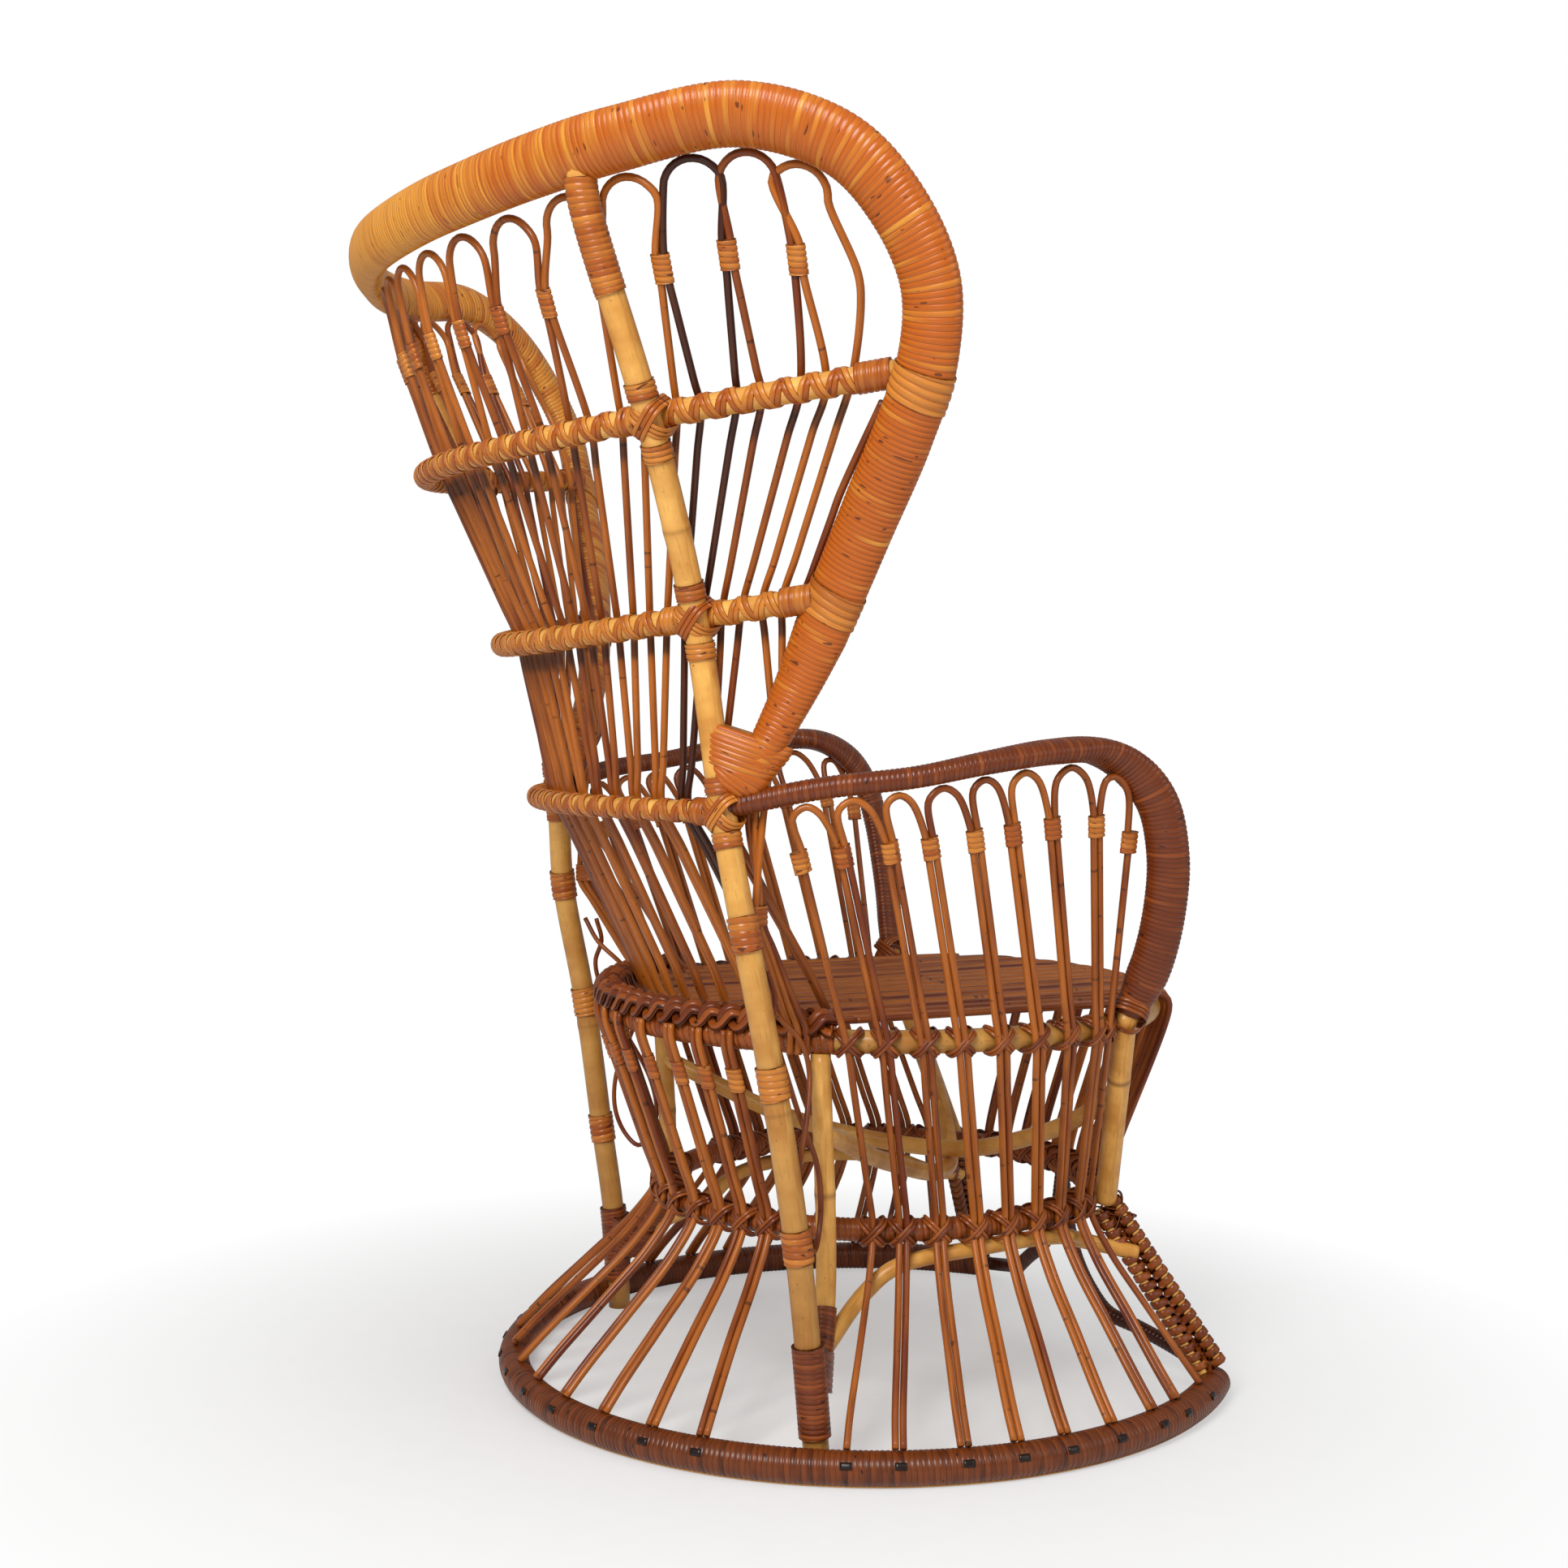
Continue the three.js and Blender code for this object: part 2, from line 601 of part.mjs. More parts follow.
const deckLevel = seatHeight + seatPole + clearance + deckHalfThin;
const deckX = (k) => (k + 1 / 2) * deckPitch;
const landingShare = 0.9;                // how wide the landing curve is, of the seat ring

function landingY(x) {
  const across = x / (landingShare * seatRadius);
  return ringCentreY + (seatRadius - deckSetback) * Math.sqrt(1 - across * across);
}

const landingRun = 18;

function landing(leg) {
  const x = deckX(Math.floor(leg / 2)) + (leg % 2 ? reedGap : -reedGap);
  const y = landingY(deckX(Math.floor(leg / 2)));
  return [V(x, y + landingRun, deckLevel), V(x, y, deckLevel)];
}

const reedShift = 7;                     // from the middle of the rim to its front

// The place under the rim at a share of its half length: the rim's own line and the way down
function underRim(share, toward) {
  const { point, direction } = along(crownFirst, share * halfRim);
  const rearward = direction.clone().cross(towardHeart(point)).normalize();
  point.addScaledVector(rearward, -reedShift);
  const down = toward.clone().sub(point);
  down.addScaledVector(direction, -down.dot(direction)).normalize();
  return { point, direction, down };
}

const archRise = rimHalfWide + clearance + reedRadius + 2 * snug;
const archBends = [30, 90, 150];         // degrees round a hairpin's bend
const narrowFrom = 6;                    // the first hairpin at the wing
const hoopBend = 312;                    // how sharply the hoops bend: radius of their bend at the middle

function hairpinBend(k) {
  const middle = atUpperHoop(2 * k).lerp(atUpperHoop(2 * k + 1), 1 / 2);
  const { point, direction, down } = underRim(hairpinShares[k], middle);
  const before = k ? hairpinShares[k - 1] : -hairpinShares[0];
  const widthShare = k < narrowFrom ? hairpinWidthShare : wingWidthShare;
  const wide = (widthShare * (hairpinShares[k + 1] - before) * halfRim) / 2;
  return archBends.map((a) => point.clone()
    .addScaledVector(direction, -wide * Math.cos(rad(a)))
    .addScaledVector(down, archRise + wide * (1 - Math.sin(rad(a)))));
}

// The two places where a leg enters and leaves its neck tie
function neck(leg) {
  const tie = Math.ceil(leg / 2);
  const inner = leg % 2 ? leg : leg - 1;
  const here = atUpperHoop(Math.max(inner, 0));
  const middle = inner < 0 ? here.clone().setX(0) : here.clone().lerp(atUpperHoop(inner + 1), 1 / 2);
  const share = tie ? (hairpinShares[tie - 1] + hairpinShares[tie]) / 2 : 0;
  const { point } = along(crownFirst, share * halfRim);
  const down = middle.clone().sub(point).normalize();
  const across = (tie ? along(crownFirst, share * halfRim).direction : V(1, 0, 0)).clone();
  across.addScaledVector(down, -across.dot(down)).normalize();
  const centre = point.clone().addScaledVector(down, rimHalfWide + neckDrop);
  const aside = leg % 2 ? -reedGap : reedGap;
  return [-neckHalf, neckHalf].map((d) => (
    centre.clone().addScaledVector(down, d).addScaledVector(across, aside)));
}

function backLeg(leg) {
  return [...neck(leg), atUpperHoop(leg), atLowerHoop(leg), atTieBar(leg), ...landing(leg)];
}

const inwardBack = (p) => V(-p.x, -hoopBend, 0);   // square to the hoops
const backReed = (path) => reed(path, inwardBack);

function hairpinPath(k) {
  return [...backLeg(2 * k).reverse(), ...hairpinBend(k), ...backLeg(2 * k + 1)];
}

const neckHalfWide = 2 * reedRadius + clearance / 2 + neckTieWall;
const neckHalfThin = reedRadius + neckTieWall;

// A tie runs on a little past the places where its reeds bend
function tieAround(a, b) {
  const across = b[0].clone().sub(a[0]);
  const [top, bottom] = a.map((p, i) => p.clone().lerp(b[i], 1 / 2));
  const more = top.clone().sub(bottom).setLength(tieLap);
  return sweep([top.add(more), bottom.sub(more)], () => across, () => strip(neckHalfWide, neckHalfThin));
}

function hairpinAt(k) {
  return backReed(hairpinPath(k));
}

// Wing reeds: the outermost hairpin and the end reed go outside the tie bar to the seat ring
const wingRimShare = 0.572;              // where they pass the rim, of the rim height
const wingTieShares = [1.298, 1.345];    // and where they are tied, of the seat height
const wingLandAngles = [49.2, 50.7, 52.2];
const wingInward = V(-0.63, -0.77, 0);        // off the rim and the arm rail, without a length
const wingAside = V(0.77, -0.63, 0);
const wingSpread = [-1, 0, 1];
const reedCorner = reedRadius * Math.SQRT2;
const wingApart = 0.6;                   // between two wing reeds
const reedPitch = 2 * reedRadius + wingApart;
const wingEndHeight = seatHeight - seatPole;

const armWingReach = 26;                 // along the arm rail to where they pass it

function wingPath(i) {
  const aside = wingSpread[i] * reedPitch;
  const rim = atHeight(crownFirst.slice(crownFirst.length / 2), wingRimShare * rimHeight);
  const arm = along(armPath, armWingReach);
  const [lowTie, highTie] = wingTieShares.map((share) => share * seatHeight);
  const legSide = atHeight(postPath, lowTie);
  const offRim = rimHalfThin + reedRadius + snug;
  const offArm = armRearHalf + reedRadius + snug;
  const offLeg = bindingReach + snug + reedRadius + i * reedPitch;
  const upper = legSide.clone().setZ(highTie).addScaledVector(wingInward, offLeg);
  const land = (z) => polar(seatContact(reedCorner), wingLandAngles[i], z);
  return [
    rim.addScaledVector(wingInward, offRim).addScaledVector(wingAside, aside),
    arm.point.addScaledVector(arm.direction.clone().cross(up), offArm).addScaledVector(arm.direction, -aside),
    upper, legSide.clone().addScaledVector(wingInward, offLeg),
    land(seatHeight + seatPole), land(wingEndHeight),
  ];
}

const wingLeg = (leg, i) => [...neck(leg), atUpperHoop(leg), atLowerHoop(leg), ...wingPath(i)];
const wingHairpinPath = [
  ...wingLeg(endReed - 2, 0).reverse(), ...hairpinBend(wingHairpin), ...wingLeg(endReed - 1, 1),
];

function besideRim(share, off) {
  const { point, direction } = along(crownFirst, share * halfRim);
  const way = towardHeart(point);
  way.addScaledVector(direction, -way.dot(direction)).normalize();
  return point.addScaledVector(way, rimHalfWide + clearance + off);
}

const endPath = [
  besideRim(endReedShares[0], 0), besideRim(endReedShares[1], reedCorner), atLowerHoop(endReed), ...wingPath(2),
];

// Two hairpins to a piece, held by the neck tie between them; the next piece lies beside it
for (let k = 0; k < wingHairpin; k += 2) {
  const outerLeg = 2 * k + 2;
  const pieces = [hairpinAt(k), hairpinAt(k + 1), tieAround(neck(outerLeg - 1), neck(outerLeg))];
  placePair(`back_reeds_${k / 2 + 1}`, largest(trim(join(pieces), backCutters)), reedFinish);
}

const tiedStretch = (path) => path.slice(-4, -2);
const wingTie = tieAround(tiedStretch(wingHairpinPath), tiedStretch(endPath));
const wingReeds = join([backReed(wingHairpinPath), backReed(endPath), wingTie]);
placePair('wing_reeds', largest(trim(wingReeds, [...backCutters, armCutter])), reedFinish);

// Arm reeds: pairs that part above a neck tie into arches under the arm rail
const armLines = {
  rail: [0.085, 0.145, 0.212, 0.268, 0.335, 0.393, 0.462, 0.547, 0.62],  // shares of the arm rail
  seat: [59.7, 66.4, 73.6, 80.3, 87.9, 95.4, 102.6, 109.8, 113],         // degrees on each ring
  waist: [63.8, 70.8, 79.3, 88.5, 96.8, 105.6, 114, 122.3, 128.5],
  base: [63.2, 70.5, 79.7, 87.6, 95.2, 103.8, 112.8, 119.2, 128.1],
};
const armNeckShare = 0.26;               // how far down from the rail the neck ties are
const armNeckHalf = 9;
const armArchRise = 0.35;                // of the way from neck tie to rail where an arch is widest
const armLength = lengthOf(armPath);
const lastArmLine = armLines.rail.length - 1;
const flatStrip = () => strip(flatReedHalf, reedRadius);
const around = (p) => V(-(p.y - ringCentreY), p.x, 0);

// Where the reeds flare below the waist ring: shares from the waist ring's radius to the base
// ring's, and of the waist height
const flareShares = [[0.2, 0.77], [0.56, 0.52], [0.9, 0.29]];
const landingRise = 4.6;                 // what the slant of a reed's end takes over the base ring

function flare(waistAngle, baseAngle) {
  const from = waistContact(reedRadius + snug);
  const to = baseRadius - basePole / 2;
  const points = flareShares.map(([out, h]) => polar(
    lerp(from, to, out), lerp(waistAngle, baseAngle, out), h * waistHeight, lerp(ringCentreY, 0, out),
  ));
  return [...points, baseAt(baseAngle, 2 * basePole + clearance + landingRise)];
}

function belowSeat(i) {
  const [seat, waist] = [armLines.seat[i], armLines.waist[i]];
  return [
    polar(seatContact(reedRadius + snug), seat, seatHeight - seatPole / 2),
    polar(waistContact(reedRadius + snug), waist, waistHeight + waistPole),
    polar(waistContact(reedRadius + snug), waist, waistHeight),
    ...flare(waist, armLines.base[i]),
  ];
}

function railPlace(share) {
  const { point, direction } = along(armPath, share * armLength);
  return { point, direction };
}

function armNeck(i, aside = 0) {
  const rail = railPlace(armLines.rail[i]);
  const top = rail.point.addScaledVector(rail.direction, aside);
  const centre = top.clone().lerp(polar(seatContact(reedRadius), armLines.seat[i], seatHeight), armNeckShare);
  const way = centre.clone().sub(top).normalize();
  return [centre.clone().addScaledVector(way, -armNeckHalf), centre.addScaledVector(way, armNeckHalf)];
}

// From one neck tie up, under the rail and down to the next
function armArch(i) {
  const [a, b] = [armNeck(i, armAside), armNeck(i + 1, -armAside)];
  const between = (armLines.rail[i] + armLines.rail[i + 1]) / 2;
  const { point, direction } = railPlace(between);
  const under = lerp(armRearHalf, armHalfThin, armFlatness(between)) + reedRadius + snug;
  const crown = point.clone().addScaledVector(up, -under);
  const quarter = a[0].distanceTo(b[0]) * armArchRise;
  const side = (sign) => (
    crown.clone().addScaledVector(direction, sign * quarter).addScaledVector(up, -quarter / 2));
  return [a[1], a[0], side(-1), crown, side(1), b[0], b[1]];
}

const armOut = (p) => V(p.x, 0, 0);
const armReedCutters = [armCutter, braceCutter];
const armAside = 4.6;                    // from a neck tie's middle to the two reeds above it

function armStrip(i) {
  const neckLine = armNeck(i);
  const path = [...neckLine, ...belowSeat(i)];
  const single = i === 0 || i === lastArmLine;
  const below = single ? oval(reedRadius, reedRadius, reedSides) : flatStrip();
  const tieShare = neckLine.length / path.length;
  return sweep(path, around, (share) => (share < tieShare ? strip(neckHalfWide, neckHalfThin) : below));
}

function armArchReed(i) {
  return sweep(armArch(i), armOut, () => oval(reedRadius, reedRadius, reedSides));
}

function tieCutter(i) {
  const [top, bottom] = armNeck(i);
  const rise = top.clone().sub(bottom).setLength(clearance);
  return sweep([top.add(rise), bottom.sub(rise)], around, () => (
    strip(neckHalfWide + clearance, neckHalfThin + clearance)));
}

// Two or three lines to a piece, joined by the arches between them
const armPieces = [[0, 1, 2], [3, 4], [5, 6], [7, 8]];
armPieces.forEach((lines, n) => {
  const strips = lines.map(armStrip);
  const arches = lines.slice(1).map((i) => armArchReed(i - 1));
  const last = lines[lines.length - 1];
  const onward = last < lastArmLine
    ? [largest(trim(armArchReed(last), [tieCutter(last + 1)]))]
    : [];
  const reeds = largest(trim(join([...strips, ...arches, ...onward]), armReedCutters));
  placePair(`arm_reeds_${n + 1}`, reeds, reedFinish);
});

// Rear skirt: reed pairs from the seat ring over the waist ring to the base ring
const skirtLines = {
  seat: [4.5, 13.5, 22.5, 29.5, 36.5],
  waist: [4.5, 14.5, 24, 31, 38],
  base: [5, 14.5, 24.2, 33.7, 42.3],
};
const skirtBandHalf = 5;                 // half the height of the band that they hang from
const bandHalfThin = 2;                  // bands lie inside the reeds that they join
const skirtBandSteps = 6;

function skirtStrip(i) {
  const [seat, waist, base] = [skirtLines.seat[i], skirtLines.waist[i], skirtLines.base[i]];
  return sweep([
    polar(seatContact(reedRadius + snug), seat, seatHeight + skirtBandHalf),
    polar(seatContact(reedRadius + snug), seat, seatHeight - skirtBandHalf),
    polar(waistContact(reedRadius + snug), waist, waistHeight + waistPole),
    polar(waistContact(reedRadius + snug), waist, waistHeight),
    ...flare(waist, base),
  ], around, flatStrip);
}

function arcBand(radius, fromAngle, toAngle, height, steps, section) {
  const path = Array.from({ length: steps + 1 }, (_, i) => (
    polar(radius, lerp(fromAngle, toAngle, i / steps), height)));
  return sweep(path, upward, () => section);
}

const skirtFrom = skirtLines.seat[0];
const skirtTo = skirtLines.seat[skirtLines.seat.length - 1];
const skirtBand = arcBand(
  seatContact(reedRadius + snug), skirtFrom, skirtTo, seatHeight, skirtBandSteps,
  strip(skirtBandHalf / 2, bandHalfThin),
);
placePair('rear_skirt', join([skirtBand, ...skirtLines.seat.map((_, i) => skirtStrip(i))]), reedFinish);

// Plaited border over the rear of the seat ring
const borderHalfThin = borderHeight / 2;
const borderSteps = 16;
place('seat_border', arcBand(
  seatRadius, -borderHalfAngle, borderHalfAngle, seatHeight + seatPole + clearance + borderHalfThin,
  borderSteps, strip(borderHalfThin, borderHalfWide),
), wrapCane());

// Seat reeds: the back reeds run on to the front, over the seat ring and down to the waist ring
const deckReeds = wingHairpin;           // pairs in each half
const apronReeds = 6;                    // of them, those that go on down
const apronPitchAngle = 6;               // at the waist ring
const deckBandAngle = 116;               // where the band under the pairs starts
const deckBandSteps = 12;
const deckBandHalf = 7;
const deckReach = seatPole + clearance + deckHalfThin;
const deckTurn = deckReach * Math.tan(Math.PI / poleSides);
const apronAngle = (k) => (k + 1 / 2) * apronPitchAngle;

// Where a circle that much wider than the seat ring passes the inner edge of a pair
function frontOf(x, wider) {
  return ringCentreY - Math.sqrt((seatRadius + wider) ** 2 - (x - flatReedHalf) ** 2);
}

function deckStrip(k) {
  const x = deckX(k);
  const low = (z) => polar(waistContact(reedRadius + snug), 180 - apronAngle(k), z);
  const path = [V(x, landingY(x) - clearance, deckLevel), V(x, frontOf(x, deckTurn), deckLevel)];
  if (k < apronReeds) {
    path.push(
      V(x, frontOf(x, deckReach), seatHeight + deckTurn), V(x, frontOf(x, deckReach), seatHeight - deckTurn),
      low(waistHeight + waistPole), low(waistHeight - waistPole),
    );
  }
  return sweep(path, (p) => (p.z < seatHeight - seatPole ? around(p) : sideways()), flatStrip);
}

const seatReeds = Array.from({ length: deckReeds }, (_, k) => deckStrip(k));
const deckBand = arcBand(
  seatRadius, deckBandAngle, 360 - deckBandAngle, deckLevel, deckBandSteps, strip(bandHalfThin, deckBandHalf),
);
place('seat_reeds', join([deckBand, ...seatReeds, ...seatReeds.map(mirrored)]), reedFinish());

// Scroll reeds: one long figure of eight between each rear leg and the inner leg beside it.
// Shares of the seat height, shares of the way across, and the side on which the reed passes itself.
const scrollTurns = [
  [1.186, 0.04, 0], [1.121, 0.5, 1], [1.062, 0.86, 0], [1.009, 0.94, 0], [0.938, 0.84, 0],
  [0.835, 0.5, -1], [0.708, 0.1, 0], [0.608, 0, 0], [0.537, 0.18, 0], [0.504, 0.5, 0], [0.537, 0.82, 0],
  [0.608, 1, 0], [0.708, 0.9, 0], [0.835, 0.5, 1], [0.938, 0.1, 0], [1.009, 0, 0], [1.062, 0.1, 0],
  [1.121, 0.5, -1], [1.186, 0.96, 0],
];
const scrollSteps = 40;
const scrollCorner = scrollReed * Math.SQRT2;
const scrollCross = scrollCorner + clearance;
const legSideOff = bindingReach + clearance + scrollCorner;

const fanShare = 1.032;                  // above it, the wing reeds stand in a row from the leg

function bodyAt(height) {
  const inner = height < innerTop.z;
  const wing = height > fanShare * seatHeight ? wingHairpinPath.slice(0, 3) : endPath.slice(-3);
  const line = inner ? innerPath : wing;
  return { point: atHeight(line, height), off: (inner ? innerLegPole : reedCorner) + snug + scrollCorner };
}

function scrollPoint([share, across, side]) {
  const height = share * seatHeight;
  const leg = atHeight(postPath, height);
  const { point, off } = bodyAt(height);
  const way = point.clone().sub(leg).setZ(0).normalize();
  const from = leg.addScaledVector(way, legSideOff);
  const to = point.addScaledVector(way, -off);
  const aside = way.clone().cross(up);
  return from.lerp(to, across).addScaledVector(aside, side * scrollCross);
}

const scrollPath = smooth(scrollTurns.map(scrollPoint), scrollSteps);
const scroll = sweep(scrollPath, (p) => V(p.y, -p.x, 0), () => oval(scrollReed, scrollReed, reedSides));
placePair('scroll_reed', scroll, reedFinish);
console.log(`scroll_reed: least gap to itself ${leastGap(scrollPath, scrollReed * 2).toFixed(2)} mm`);

// The frame of the part: floor at z = 0, the middle of its plan at x = y = 0
const plan = new THREE.Box3().setFromObject(chair, true).getCenter(V(0, 0, 0));
chair.position.y = -plan.y;
console.log(`The axis of the base ring lies at y = ${chair.position.y.toFixed(2)} mm`);

const part = new THREE.Group();
part.add(chair);
export default part;
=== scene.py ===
# %% [markdown]
# # A peacock chair in rattan
# The real chair is made of four things: thick poles of rattan, bent over steam; thin round reeds; flat
# cane, the glossy peel of the stem, wound and lashed over the poles; and a clear, warm lacquer over all
# of it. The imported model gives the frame, where every pole and reed runs. This lesson dresses that
# frame with round poles, real windings, lashings and a plaited border.

# %% Load the frame
import math

import bpy
import numpy as np
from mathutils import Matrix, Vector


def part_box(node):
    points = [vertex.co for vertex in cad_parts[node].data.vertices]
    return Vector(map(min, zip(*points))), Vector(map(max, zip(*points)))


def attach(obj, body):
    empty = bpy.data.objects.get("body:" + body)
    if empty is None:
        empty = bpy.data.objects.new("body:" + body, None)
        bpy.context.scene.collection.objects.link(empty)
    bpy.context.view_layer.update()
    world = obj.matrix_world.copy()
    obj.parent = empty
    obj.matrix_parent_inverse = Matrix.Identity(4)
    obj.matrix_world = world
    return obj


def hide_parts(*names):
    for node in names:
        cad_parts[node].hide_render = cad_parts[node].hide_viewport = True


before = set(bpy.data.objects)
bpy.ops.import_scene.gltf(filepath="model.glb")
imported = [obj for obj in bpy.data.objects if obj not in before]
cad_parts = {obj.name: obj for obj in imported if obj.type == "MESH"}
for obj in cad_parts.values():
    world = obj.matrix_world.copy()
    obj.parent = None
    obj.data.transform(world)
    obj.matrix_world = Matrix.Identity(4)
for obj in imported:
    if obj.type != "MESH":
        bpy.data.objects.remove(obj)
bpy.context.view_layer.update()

# %% [markdown]
# ## The camera
# The photograph looks at the chair from behind and from the sitter's right, a little above the arms. The
# place and the lens were worked out from the chair's symmetric curves, so they are typed in here. The
# picture is 1932 pixels wide and its focal length is 2632 pixels, which on a 36 mm sensor gives the lens.

# %% Camera
PHOTO_PIXELS = 1932
FOCAL_PIXELS = 2632
SENSOR_MM = 36.0
CAMERA_PLACE = (-1.8138, 0.7281, 0.6161)
CAMERA_TURN = (87.871, 0.0, 247.77)

camera_data = bpy.data.cameras.new("photo_camera")
camera_data.sensor_width = SENSOR_MM
camera_data.lens = SENSOR_MM * FOCAL_PIXELS / PHOTO_PIXELS


def place_object(name, data):
    """An object in the scene for some data."""
    made = bpy.data.objects.new(name, data)
    bpy.context.scene.collection.objects.link(made)
    return made


camera = place_object("photo_camera", camera_data)
camera.location = CAMERA_PLACE
camera.rotation_euler = [math.radians(a) for a in CAMERA_TURN]
bpy.context.scene.camera = camera
print("lens in mm:", round(camera_data.lens, 2))

# %% [markdown]
# ## Curves
# A bent pole takes the smoothest way through the places where it is held. A centripetal Catmull-Rom
# curve does the same and never loops between close points. The frame was drawn with these curves, so
# the same points give the same lines here. Lengths in this lesson are millimetres, with the base
# ring's axis at x = y = 0, and they are turned to metres of the frame only when a mesh is made.

# %% Curve helpers
MM = 0.001
BASE_REAR_MM = 341.0
ring_axis_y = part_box("base_ring")[1].y - BASE_REAR_MM * MM
print("base ring axis at y =", round(ring_axis_y, 4))


def unit(vectors):
    """Each vector with a length of one."""
    return vectors / np.linalg.norm(vectors, axis=-1, keepdims=True)


def lengths(path):
    """How far along the path each of its points lies."""
    return np.concatenate([[0], np.cumsum(np.linalg.norm(np.diff(path, axis=0), axis=1))])


def sampled(rows, run, where):
    """Rows of values along a path, read at other distances."""
    return np.stack([np.interp(where, run, rows[:, i]) for i in range(3)], axis=-1)


def even(path, spacing):
    """The same line, cut into equal steps of about the spacing."""
    run = lengths(path)
    count = max(int(round(run[-1] / spacing)), 2)
    return sampled(path, run, np.linspace(0, run[-1], count + 1))


print("a unit step:", unit(np.array([3.0, 4.0, 0.0])))

# %% A smooth curve
CURVE_STEPS = 24


def smooth(points, spacing):
    """A centripetal Catmull-Rom curve through the points, in equal steps."""
    p = np.asarray(points, float)
    p = np.vstack([2 * p[0] - p[1], p, 2 * p[-1] - p[-2]])
    gaps = np.sqrt(np.linalg.norm(np.diff(p, axis=0), axis=1))
    t = np.linspace(0, 1, CURVE_STEPS, endpoint=False)[:, None]
    curve = []
    for i in range(1, len(p) - 2):
        before, here, after = gaps[i - 1:i + 2]
        step = p[i + 1] - p[i]
        leave = (p[i] - p[i - 1]) / before - (p[i + 1] - p[i - 1]) / (before + here) + step / here
        reach = step / here - (p[i + 2] - p[i]) / (here + after) + (p[i + 2] - p[i + 1]) / after
        leave, reach = leave * here, reach * here
        curve.append(p[i] + leave * t + (3 * step - 2 * leave - reach) * t ** 2
                     + (leave + reach - 2 * step) * t ** 3)
    return even(np.vstack(curve + [p[-2:-1]]), spacing)


print("a test curve in mm:", round(lengths(smooth(np.eye(3) * 90, 4.0))[-1]))


# %% Places along a line
SEAT_Y = -15.0
UP = np.array([0, 0, 1.0])


def polar(radius, degrees, height, centre_y=SEAT_Y):
    """A place round the seat's middle; 0 degrees is straight behind."""
    a = math.radians(degrees)
    return np.array([radius * math.sin(a), centre_y + radius * math.cos(a), height])


def along(path, distance):
    """The point and the direction at a distance along a path."""
    run = lengths(path)
    i = int(np.clip(np.searchsorted(run, distance) - 1, 0, len(path) - 2))
    way = unit(path[i + 1] - path[i])
    return path[i] + way * (distance - run[i]), way


def at_height(path, height):
    """Where a path first passes a height."""
    side = path[:, 2] - height
    i = int(np.argmax(side[1:] * side[:-1] <= 0))
    a, b = path[i], path[i + 1]
    return a + (b - a) * (height - a[2]) / (b[2] - a[2])


print("the middle of the seat lies at y =", SEAT_Y, "mm")


# %% Stretches of a line
def between_heights(path, low, high, count):
    """Places on a path at even heights."""
    return np.array([at_height(path, z) for z in np.linspace(low, high, count)])


def around_place(path, middle, half, count):
    """Places on a path at even steps, to both sides of a distance along it."""
    return np.array([along(path, middle + d)[0] for d in np.linspace(-half, half, count)])


def mix(a, b, share):
    """The place a share of the way from a to b."""
    return a + (b - a) * share


TAUT_FROM, TAUT_HOLD = 95.0, 0.22


def taut(points):
    """More places on each long free stretch, so that the line keeps straight between its ties."""
    places = [np.asarray(points[0], float)]
    for target in np.asarray(points[1:], float):
        here = places[-1]
        if np.linalg.norm(target - here) > TAUT_FROM:
            places += [mix(here, target, TAUT_HOLD), mix(here, target, 1 - TAUT_HOLD)]
        places.append(target)
    return places


def flip(points):
    """The same points on the other side of the chair."""
    return np.asarray(points) * (-1, 1, 1)


print("a free stretch keeps straight from", TAUT_FROM, "mm on")


# %% [markdown]
# ## Skins
# A pole, a reed and a strip of cane are all one section moved along a line. The helpers below work
# that out as arrays of points and faces. Each point also keeps four values for the materials: how far
# along the strand it lies, where it is across the strand, the strand's own tone, because no two strips
# of cane have quite the same colour, and how dark it is drawn, from real stains and from painted shade.

# %% Skin helpers
ATTRIBUTES = ("along", "across", "tone", "stain")
rng = np.random.default_rng(7)


def frames(path, side):
    """Two axes square to a path at each of its points; the first leans to side."""
    ahead = unit(np.gradient(path, axis=0))
    side = np.broadcast_to(np.asarray(side, float), path.shape)
    u = unit(side - ahead * np.sum(side * ahead, axis=1, keepdims=True))
    return u, np.cross(ahead, u)


def quads_between(index, after):
    """Four-sided faces between each row of points and the next."""
    return np.stack([index[:-1], after[:-1], after[1:], index[1:]], axis=-1).reshape(-1, 4)


def skin(points, length, across, tone, stain=0.0):
    """A closed skin through rows of points, with a fan over each end."""
    shape = points.shape[:2]
    flat = shape[0] * shape[1]
    index = np.arange(flat).reshape(shape)
    after = np.roll(index, -1, axis=1)
    part = {
        "points": np.vstack([points.reshape(-1, 3), points[0].mean(axis=0), points[-1].mean(axis=0)]),
        "quads": quads_between(index, after),
        "tris": np.vstack([np.stack([after[0], index[0], np.full(shape[1], flat)], axis=1),
                           np.stack([index[-1], after[-1], np.full(shape[1], flat + 1)], axis=1)]),
    }
    tone = rng.random() if tone is None else tone
    for key, value in zip(ATTRIBUTES, (length[:, None], across, tone, np.reshape(stain, (-1, 1)))):
        value = np.broadcast_to(value, shape).ravel()
        part[key] = np.append(value, value[[0, -1]])
    return part


print("each point keeps", ", ".join(ATTRIBUTES))


# %% Round strands and flat strips
def ringed(u, w, angle, wide=1.0, thin=1.0):
    """Directions round a path, or an oval round it."""
    return (wide * np.cos(angle))[..., None] * u + (thin * np.sin(angle))[..., None] * w


